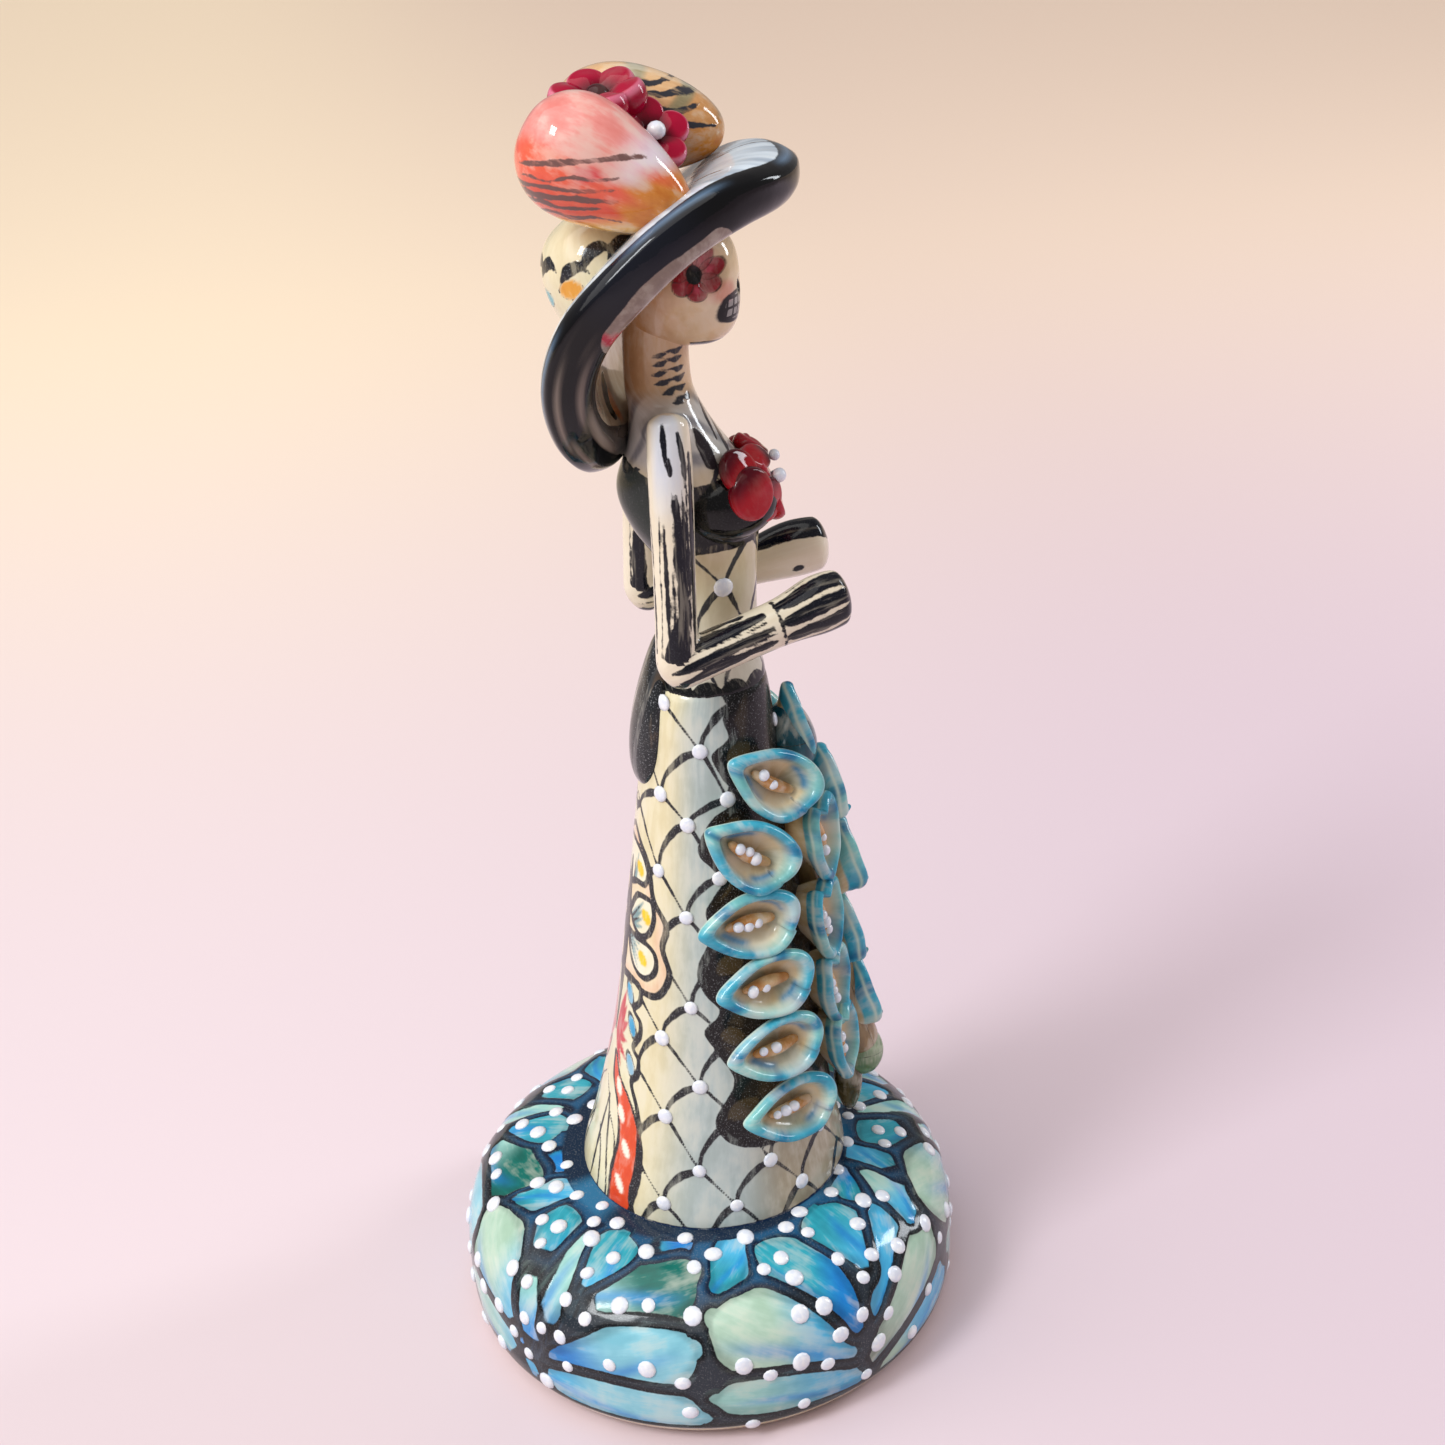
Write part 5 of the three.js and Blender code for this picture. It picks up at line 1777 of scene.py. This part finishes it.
def lily_grid(mouth, facing, tip, depth, trail, size, seed, hand):
    """A calla lily: a funnel with a pointed lip, whose rim curls in over itself at the inner end."""
    rng = np.random.default_rng(seed)
    rows, cols = 60, 64
    section = curve_points(LILY_SECTION, rows)
    section[:, 0] = np.maximum(section[:, 0], 0)
    section[0, 0] = section[-1, 0] = 0
    radius, height = section[:, :1], section[:, 1:]
    turn = np.linspace(0, 2 * math.pi, cols, endpoint=False) + math.pi / cols + LILY_SEAM
    past_seam = turn - LILY_SEAM
    at_rim = smooth_step(radius, 0.3, 0.85) * smooth_step(height, -0.6, -0.1)
    curled = smooth_step(past_seam, math.radians(80), 0.0) ** 1.3
    tucked = smooth_step(past_seam, math.radians(310), math.radians(359))
    reach = radius * (1 - (0.24 * curled + 0.13 * tucked) * at_rim)
    towards_tip = np.cos(turn) * np.ones_like(radius)
    point = np.maximum(towards_tip, 0)
    x = reach * (np.cos(turn) + 0.1 * point ** 5)
    y = reach * np.sin(turn) * (1 - 0.34 * point ** 3)
    below = np.maximum(-height, 0)
    lip = LILY_LIP * np.maximum(height, 0) / LIP_TOP
    back_curl = 0.3 * LILY_LIP * point ** 3 * reach ** 2
    fold = at_rim * (0.85 * curled - 0.45 * tucked)
    wave = (0.4 * np.sin(turn * 3 + rng.uniform(0, 6)) * reach ** 3
            + 0.2 * np.sin(turn * 7 + rng.uniform(0, 6)) * reach ** 4)
    shaped = np.stack([
        x * LILY_HALF_LENGTH * size - trail * below * SHARE,
        y * (1 - 0.12 * towards_tip) * LILY_HALF_WIDTH * size * hand,
        lip - back_curl - below * depth + wave * 0.6 + fold,
    ], -1)
    grid = orient(shaped, mouth, facing, tip)
    way = np.stack(np.broadcast_arrays(np.cos(turn) * 5, np.sin(turn) * 5, radius * 3 + seed * 3), -1)
    seam_gap = np.minimum(past_seam, 2 * math.pi - past_seam) * 9
    ink = np.where(radius > 0.5, 0.35 - seam_gap, BARE)
    ground = paint_lily(turn, radius, height, seed)
    return grid, dict(ground=ground, tint=paint("0d3346"), ink=ink, brush_way=way)


def paint_lily(turn, radius, height, seed):
    """Ground of a lily, round it and along its section: a tan funnel, a blue lip and a pale bowl."""
    outside = (np.arange(len(radius)) < len(radius) * 0.4)[:, None]
    bowl = mix(paint("e4d4b0"), paint("aabcb0"), smooth_step(np.sin(turn * 2 + seed), 0.0, 1.0) * 0.6)
    # Painted shade: the bowl goes darker tan towards its deep middle.
    bowl = mix(bowl, paint("b8916a"), smooth_step(radius, 0.5, 0.1) * 0.45)
    funnel = mix(paint("b18a5c"), paint("cdb78f"), smooth_step(radius, 0.4, 0.9))
    band = mix(paint("43a9c2"), paint("83c4c2"), smooth_step(np.sin(turn * 2 + seed * 1.7), -0.2, 1.0))
    deep = smooth_step(np.sin(turn * 3 + seed * 2.3) + 0.5 * np.sin(turn * 8 + seed), 0.5, 1.3)
    band = mix(band, paint("13749f"), deep * 0.85)
    at_lip = smooth_step(radius, 0.58, 0.84) * (height > -0.12)
    ground = mix(np.where(outside[..., None], funnel, bowl), band, at_lip)
    accent = np.exp(-((radius - 0.62) / 0.08) ** 2) * smooth_step(np.sin(turn * 2 + seed * 3.1), 0.2, 0.8)
    ground = mix(ground, paint("1a8fc4"), accent * (height > -0.2) * (1 - outside) * 0.8)
    rim_line = np.exp(-((height - 0.06) / 0.04) ** 2) * (radius > 0.95)
    return mix(ground, paint("d3e2cf"), rim_line * 0.8)


def lily_throat(mouth, facing, tip, size, seed):
    """The ridge that lies in the bowl, and the places of its pearls."""
    rng = np.random.default_rng(100 + seed)
    rows = 26
    up = unit(facing)
    along = square_to(up, tip)
    across = np.cross(up, along)
    start = mouth + along * 7.0 * size - up * 0.2
    end = mouth - along * 5.6 * size - up * 1.6
    middle = (start + end) / 2 + up * 0.2 + across * rng.uniform(-0.8, 0.8)
    grid = limb_grid([(start, 0.9), (middle, 1.6), (end, 1.0)], rows=rows, cols=16)
    tone = smooth_step(np.sin(np.linspace(0, 9, rows) + seed), 0.0, 1.0)[:, None]
    ground = mix(paint("c58f54"), paint("d8bb8e"), tone * 0.8)
    count = int(rng.integers(2, 4))
    shares = (np.arange(count) + rng.uniform(0.2, 0.8)) / (count + 0.4) * 0.66 + 0.1
    pearls = [start + (end - start) * s + up * 1.2 + across * rng.uniform(-0.6, 0.6) for s in shares]
    return grid, dict(ground=ground, tint=ground, ink=BARE, brush_way=grid), pearls


def lily_list():
    """Mouth, facing, tip, depth, trail, size and hand of every lily."""
    def out_from(side, degrees, lift):
        turn = math.radians(degrees)
        return np.array([side * math.sin(turn), -math.cos(turn), math.tan(math.radians(lift))])

    def off_skirt(side, degrees, level, stand_off):
        return off_body(np.array(math.radians(degrees) * -side), np.array(float(level)), stand_off)

    lilies = []
    for side in SIDES:
        for level, degrees, stand_off, rise, turned in SIDE_LILIES:
            tip = out_from(side, degrees + turned + 90, 0) + UP * math.tan(math.radians(rise))
            mouth = off_skirt(side, degrees, level, stand_off)
            facing = out_from(side, degrees + turned, 10)
            lilies.append((mouth, facing, tip, LILY_DEPTH, 4, 1.0, -side))
        for level, degrees, stand_off in INNER_LILIES:
            mouth = off_skirt(side, degrees, level, stand_off)
            lilies.append((mouth, out_from(side, degrees + 8, 6), -UP, LILY_DEPTH, 2, 0.9, side))
    for level, degrees, stand_off in MIDDLE_LILIES:
        mouth = off_skirt(LEFT, degrees, level, stand_off)
        lilies.append((mouth, out_from(LEFT, degrees, 12), UP, stand_off + 5, 9, 0.85, 1))
    return lilies


def build_lilies(settings):
    """The lilies, with a ridge and pearls in every bowl."""
    forms, paints, pearls, facings = [], [], [], []
    throats, throat_paints = [], []
    for number, (mouth, facing, tip, depth, trail, size, hand) in enumerate(lily_list()):
        grid, colours = lily_grid(mouth, facing, tip, depth, trail, size, number, hand)
        forms.append(grid)
        paints.append(colours)
        grid, colours, beads = lily_throat(mouth, facing, tip, size, number)
        throats.append(grid)
        throat_paints.append(colours)
        pearls += beads
        facings += [unit(facing)] * len(beads)
    material = make_brushed_material("Lily Glaze", wash=0.45, streak=0.35, speckle=0.0, waver=0.5,
                                     dryness=0.1, roughness=0.12, coat=0.3)
    painted_piece("calla_lilies", forms, paints, material)
    painted_piece("lily_throats", throats, throat_paints, material)
    sizes = np.random.default_rng(6).uniform(0.85, 1.2, len(pearls))
    make_beads("lily_pearls", np.array(pearls), np.array(facings), sizes, 2.6, 2.0, 0.12, 4)


# Stems, leaves and sash

def build_greenery(settings):
    """The stems, the knot that ties them, and the leaves at both ends."""
    front = np.array([0, -1.0, 0])

    def place(level, stand_off):
        return off_body(np.array(0.0), np.array(float(level)), stand_off)

    stems = limb_grid([(place(86, 1), 4), (place(62, 3), 5), (place(38, 6), 5.5), (place(20, 10), 5)])
    knot = blob_grid(place(20, 9.5), (7, 5, 5.5), front, UP)
    low_leaf = blob_grid(place(11, 4.5), (9, 5, 3.5), front, UP, -0.2)
    top_leaf = blob_grid(place(113.5, 2.6), (9.5, 8, 6.5), front, UP, 0.25)
    forms = [stems, knot, low_leaf, top_leaf]
    colours = [paint("8d7450"), paint("6d8a62"), paint("5a512f"), paint("17505f")]
    paints = []
    for grid, colour in zip(forms, colours):
        turn = np.linspace(0, 2 * math.pi, grid.shape[1], endpoint=False)
        ridges = smooth_step(np.sin(turn * 7), 0.6, 1.0)
        ink = np.where(np.sin(turn * 5 + 1) > 0.93, 0.1, BARE)
        paints.append(dict(ground=mix(colour, colour * 1.8, ridges * 0.4), tint=paint("2b2a20"), ink=ink,
                           brush_way=grid * [1, 1, 0.25]))
    material = make_brushed_material("Leaf Glaze", wash=0.4, streak=0.4, speckle=0.3, waver=0.6,
                                     dryness=0.4, roughness=0.18, coat=0.4)
    painted_piece("stems_and_leaves", forms, paints, material)


def build_sash(settings):
    """The sash's flap that hangs behind the waist, glossy black with a brown edge."""
    rows, cols = 60, 80
    grid = blob_grid(at(0, 5, 126), (19, 7.5, 4), (0, 1, 0.16), (0, 0, 1), 0.4, rows, cols)
    ball = ball_grid(rows, cols)
    along, across = ball[..., 0], ball[..., 1]
    ground = mix(paint("3c3f42"), paint("6f5a44"), smooth_step(np.abs(across), 0.72, 0.95))
    ink = 0.8 - smooth_step(np.sin(across * 8 + along * 3), 0.5, 1.0) * 1.6
    way = np.stack([along * 4, across * 12, ball[..., 2]], -1)
    material = make_brushed_material("Sash Glaze", wash=0.3, streak=0.6, speckle=0.8, waver=0.8,
                                     dryness=0.4, roughness=0.1, coat=0.7)
    paints = dict(ground=ground, tint=paint("26282b"), ink=ink, brush_way=way)
    painted_piece("sash_flap", [grid], [paints], material)


def build_dots(settings):
    """White enamel dots on the base, the skirt, the waist and the flowers."""
    width = settings.dot_width / MM
    make_beads("base_dots", *base_dots(), width, width * 0.42, 0.16, 21)
    make_beads("skirt_dots", *skirt_dots(), width * 0.88, width * 0.34, 0.08, 22)
    waist = off_body(np.radians([86.0, -86.0, 20.0]), np.array([157.7, 157.7, 146.0]), 0.2)
    facings = waist * [1, 1, 0] + [0, 9, 0]
    make_beads("waist_dots", waist, facings, np.ones(3), width * 1.1, width * 0.5, 0.05, 23)
    centres = np.array([on_head(-3.9, -4.0, 253.9), at(-7.6, -25.0, 180.8), at(-2.5, -25.2, 183.5),
                        at(0, -26.0, 177.5)])
    facings = np.array([head_way(-0.7, -0.4, 0.6), (-0.7, -1, 0.3), (-0.2, -1, 0.6), (0, -1, 0.35)])
    make_beads("flower_beads", centres, facings, np.array([1.2, 1.0, 0.8, 1.0]), 3.2, 3.0, 0.05, 24)


# Stage and camera, in metres

CAMERA_PLACE = (-0.3956366, 0.0626627, 0.3761586)
CAMERA_RIGHT = (-0.2101, -0.9763, -0.0516)
CAMERA_UP = (0.4535, -0.1441, 0.8795)
CAMERA_BACK = (-0.8661, 0.1614, 0.4731)
SENSOR = 36.0
LENS = 49.83
# What the lights are turned to, and how far off they hang
AIM = Vector((0, 0, 0.15))
LIGHT_DISTANCE = 1.5


def build_camera():
    """The photo's camera, as it was fitted to the round base and the upright axis."""
    camera = bpy.data.cameras.new("Camera")
    camera.lens = LENS
    camera.sensor_width = SENSOR
    camera.clip_start = 0.01
    camera.clip_end = 20
    holder = add_object(camera)
    turn = Matrix([CAMERA_RIGHT, CAMERA_UP, CAMERA_BACK]).transposed().to_quaternion()
    holder.matrix_world = Matrix.LocRotScale(Vector(CAMERA_PLACE), turn, None)
    bpy.context.scene.camera = holder


def add_light(name, kind, way, power, colour):
    """A light in a direction from the figure, turned towards it."""
    light = bpy.data.lights.new(name, kind)
    light.energy = power
    light.color = colour
    holder = add_object(light)
    holder.location = AIM + Vector(way).normalized() * LIGHT_DISTANCE
    holder.rotation_euler = Vector(way).to_track_quat("Z", "Y").to_euler()
    return light


def add_window(name, way, size, power, colour):
    """A bright rectangle whose reflection runs down the glaze."""
    light = add_light(name, "AREA", way, power, colour)
    light.shape = "RECTANGLE"
    light.size, light.size_y = size


def build_floor(settings):
    """A pale floor that goes from pink by the figure to peach behind her, where the peach is painted warm
    light.
    """
    reach = 6.0
    mesh = bpy.data.meshes.new("floor")
    corners = [(-reach, -reach, 0), (reach, -reach, 0), (reach, reach, 0), (-reach, reach, 0)]
    mesh.from_pydata(corners, [], [(0, 1, 2, 3)])
    floor = add_object(mesh)
    material, tree, shader = new_material("Pale Floor")
    split = tree.nodes.new("ShaderNodeSeparateXYZ")
    feed(tree, split.inputs[0], tree.nodes.new("ShaderNodeTexCoord").outputs["Object"])
    # Painted light and shade: peach far behind her for a warm light, and a darkening towards her front for
    # shade.
    far = range_node(tree, split.outputs["X"], 0.1, 1.0)
    colour = mix_node(tree, far, tuple(settings.floor_near) + (1,), tuple(settings.floor_far) + (1,))
    side = range_node(tree, split.outputs["Y"], -0.35, 0.2, 1.0, 0.0)
    feed(tree, shader["Base Color"], mix_node(tree, side, colour, (0.85, 0.82, 0.89, 1), "MULTIPLY"))
    feed(tree, shader["Roughness"], 0.8)
    feed(tree, shader["Specular IOR Level"], 0.1)
    mesh.materials.append(material)


def build_stage(settings):
    """The floor, the open sky, two windows and the room's own light."""
    build_floor(settings)
    sky = add_light("Open Sky", "SUN", (-0.1, 0.6, 1.0), 1.9, (1.0, 0.98, 0.95))
    sky.angle = math.radians(80)
    add_window("Window", (-0.35, 0.75, 0.85), (0.34, 0.6), 12, (0.93, 0.97, 1.0))
    add_window("Window Right", (0.1, -1.0, 0.45), (0.22, 0.8), 8, (0.9, 0.95, 1.0))
    world = bpy.data.worlds.new("Room")
    world.use_nodes = True
    background = world.node_tree.nodes["Background"]
    background.inputs["Color"].default_value = (1.0, 0.96, 0.95, 1)
    background.inputs["Strength"].default_value = 0.3
    bpy.context.scene.world = world
    bpy.context.scene.view_settings.view_transform = "Standard"


# Settings, operators and panel

class SkeletonLadySettings(bpy.types.PropertyGroup):
    dot_width: FloatProperty(
        name="Dot Width", description="Width of the white enamel dots",
        default=0.0042, min=0.001, max=0.01, unit="LENGTH")
    line_relief: FloatProperty(
        name="Line Relief", description="How far the base's dark lines stand up from its cells",
        default=0.00025, min=0.0, max=0.002, unit="LENGTH")
    floor_near: FloatVectorProperty(
        name="Floor Near", description="Floor colour by the figure",
        subtype="COLOR", default=(0.75, 0.62, 0.65), min=0.0, max=1.0)
    floor_far: FloatVectorProperty(
        name="Floor Far", description="Floor colour far behind the figure",
        subtype="COLOR", default=(1.0, 0.82, 0.62), min=0.0, max=1.0)


class SKELETON_OT_base(bpy.types.Operator):
    """Make the round base with its wing-like cells"""
    bl_idname = "skeleton.base"
    bl_label = "Base"

    def execute(self, context):
        build_base(context.scene.skeleton_lady)
        return {"FINISHED"}


class SKELETON_OT_skirt(bpy.types.Operator):
    """Make the long skirt with its net, dark cloud and butterfly"""
    bl_idname = "skeleton.skirt"
    bl_label = "Skirt"

    def execute(self, context):
        build_skirt(context.scene.skeleton_lady)
        return {"FINISHED"}


class SKELETON_OT_torso(bpy.types.Operator):
    """Make the waist, bust, shoulders and arms as one skin"""
    bl_idname = "skeleton.torso"
    bl_label = "Torso and Arms"

    def execute(self, context):
        build_torso(context.scene.skeleton_lady)
        return {"FINISHED"}


class SKELETON_OT_head(bpy.types.Operator):
    """Make the skull with its petal-ringed eyes"""
    bl_idname = "skeleton.head"
    bl_label = "Head"

    def execute(self, context):
        build_head(context.scene.skeleton_lady)
        return {"FINISHED"}


class SKELETON_OT_hat(bpy.types.Operator):
    """Make the wide brim, the dome and the bow"""
    bl_idname = "skeleton.hat"
    bl_label = "Hat"

    def execute(self, context):
        settings = context.scene.skeleton_lady
        build_brim(settings)
        build_hat_dome(settings)
        build_bow(settings)
        return {"FINISHED"}


class SKELETON_OT_flowers(bpy.types.Operator):
    """Make the crimson flowers on the hat and the bust"""
    bl_idname = "skeleton.flowers"
    bl_label = "Crimson Flowers"

    def execute(self, context):
        build_flowers(context.scene.skeleton_lady)
        return {"FINISHED"}


class SKELETON_OT_lilies(bpy.types.Operator):
    """Make the calla lilies on the skirt"""
    bl_idname = "skeleton.lilies"
    bl_label = "Calla Lilies"

    def execute(self, context):
        build_lilies(context.scene.skeleton_lady)
        return {"FINISHED"}


class SKELETON_OT_greenery(bpy.types.Operator):
    """Make the stems, the leaves and the sash's flap"""
    bl_idname = "skeleton.greenery"
    bl_label = "Stems, Leaves and Sash"

    def execute(self, context):
        build_greenery(context.scene.skeleton_lady)
        build_sash(context.scene.skeleton_lady)
        return {"FINISHED"}


class SKELETON_OT_dots(bpy.types.Operator):
    """Make the white enamel dots and beads"""
    bl_idname = "skeleton.dots"
    bl_label = "Enamel Dots"

    def execute(self, context):
        build_dots(context.scene.skeleton_lady)
        return {"FINISHED"}


class SKELETON_OT_stage(bpy.types.Operator):
    """Make the floor, the lights and the camera"""
    bl_idname = "skeleton.stage"
    bl_label = "Stage"

    def execute(self, context):
        build_stage(context.scene.skeleton_lady)
        build_camera()
        return {"FINISHED"}


OPERATORS = (
    SKELETON_OT_base, SKELETON_OT_skirt, SKELETON_OT_torso, SKELETON_OT_head, SKELETON_OT_hat,
    SKELETON_OT_flowers, SKELETON_OT_lilies, SKELETON_OT_greenery, SKELETON_OT_dots, SKELETON_OT_stage,
)


class SKELETON_PT_panel(bpy.types.Panel):
    """Sizes, colours and pieces of the skeleton lady"""
    bl_label = "Skeleton Lady"
    bl_idname = "SKELETON_PT_panel"
    bl_space_type = "VIEW_3D"
    bl_region_type = "UI"
    bl_category = "Skeleton Lady"

    def draw(self, context):
        settings = context.scene.skeleton_lady
        for name in ("dot_width", "line_relief", "floor_near", "floor_far"):
            self.layout.prop(settings, name)
        for made in OPERATORS:
            self.layout.operator(made.bl_idname)


CLASSES = (SkeletonLadySettings,) + OPERATORS + (SKELETON_PT_panel,)


def register():
    for made in CLASSES:
        bpy.utils.register_class(made)
    bpy.types.Scene.skeleton_lady = PointerProperty(type=SkeletonLadySettings)


def unregister():
    del bpy.types.Scene.skeleton_lady
    for made in reversed(CLASSES):
        bpy.utils.unregister_class(made)


def main():
    register()
    bpy.ops.skeleton.base()
    bpy.ops.skeleton.skirt()
    bpy.ops.skeleton.torso()
    bpy.ops.skeleton.head()
    bpy.ops.skeleton.hat()
    bpy.ops.skeleton.flowers()
    bpy.ops.skeleton.lilies()
    bpy.ops.skeleton.greenery()
    bpy.ops.skeleton.dots()
    bpy.ops.skeleton.stage()


if __name__ == "__main__":
    main()
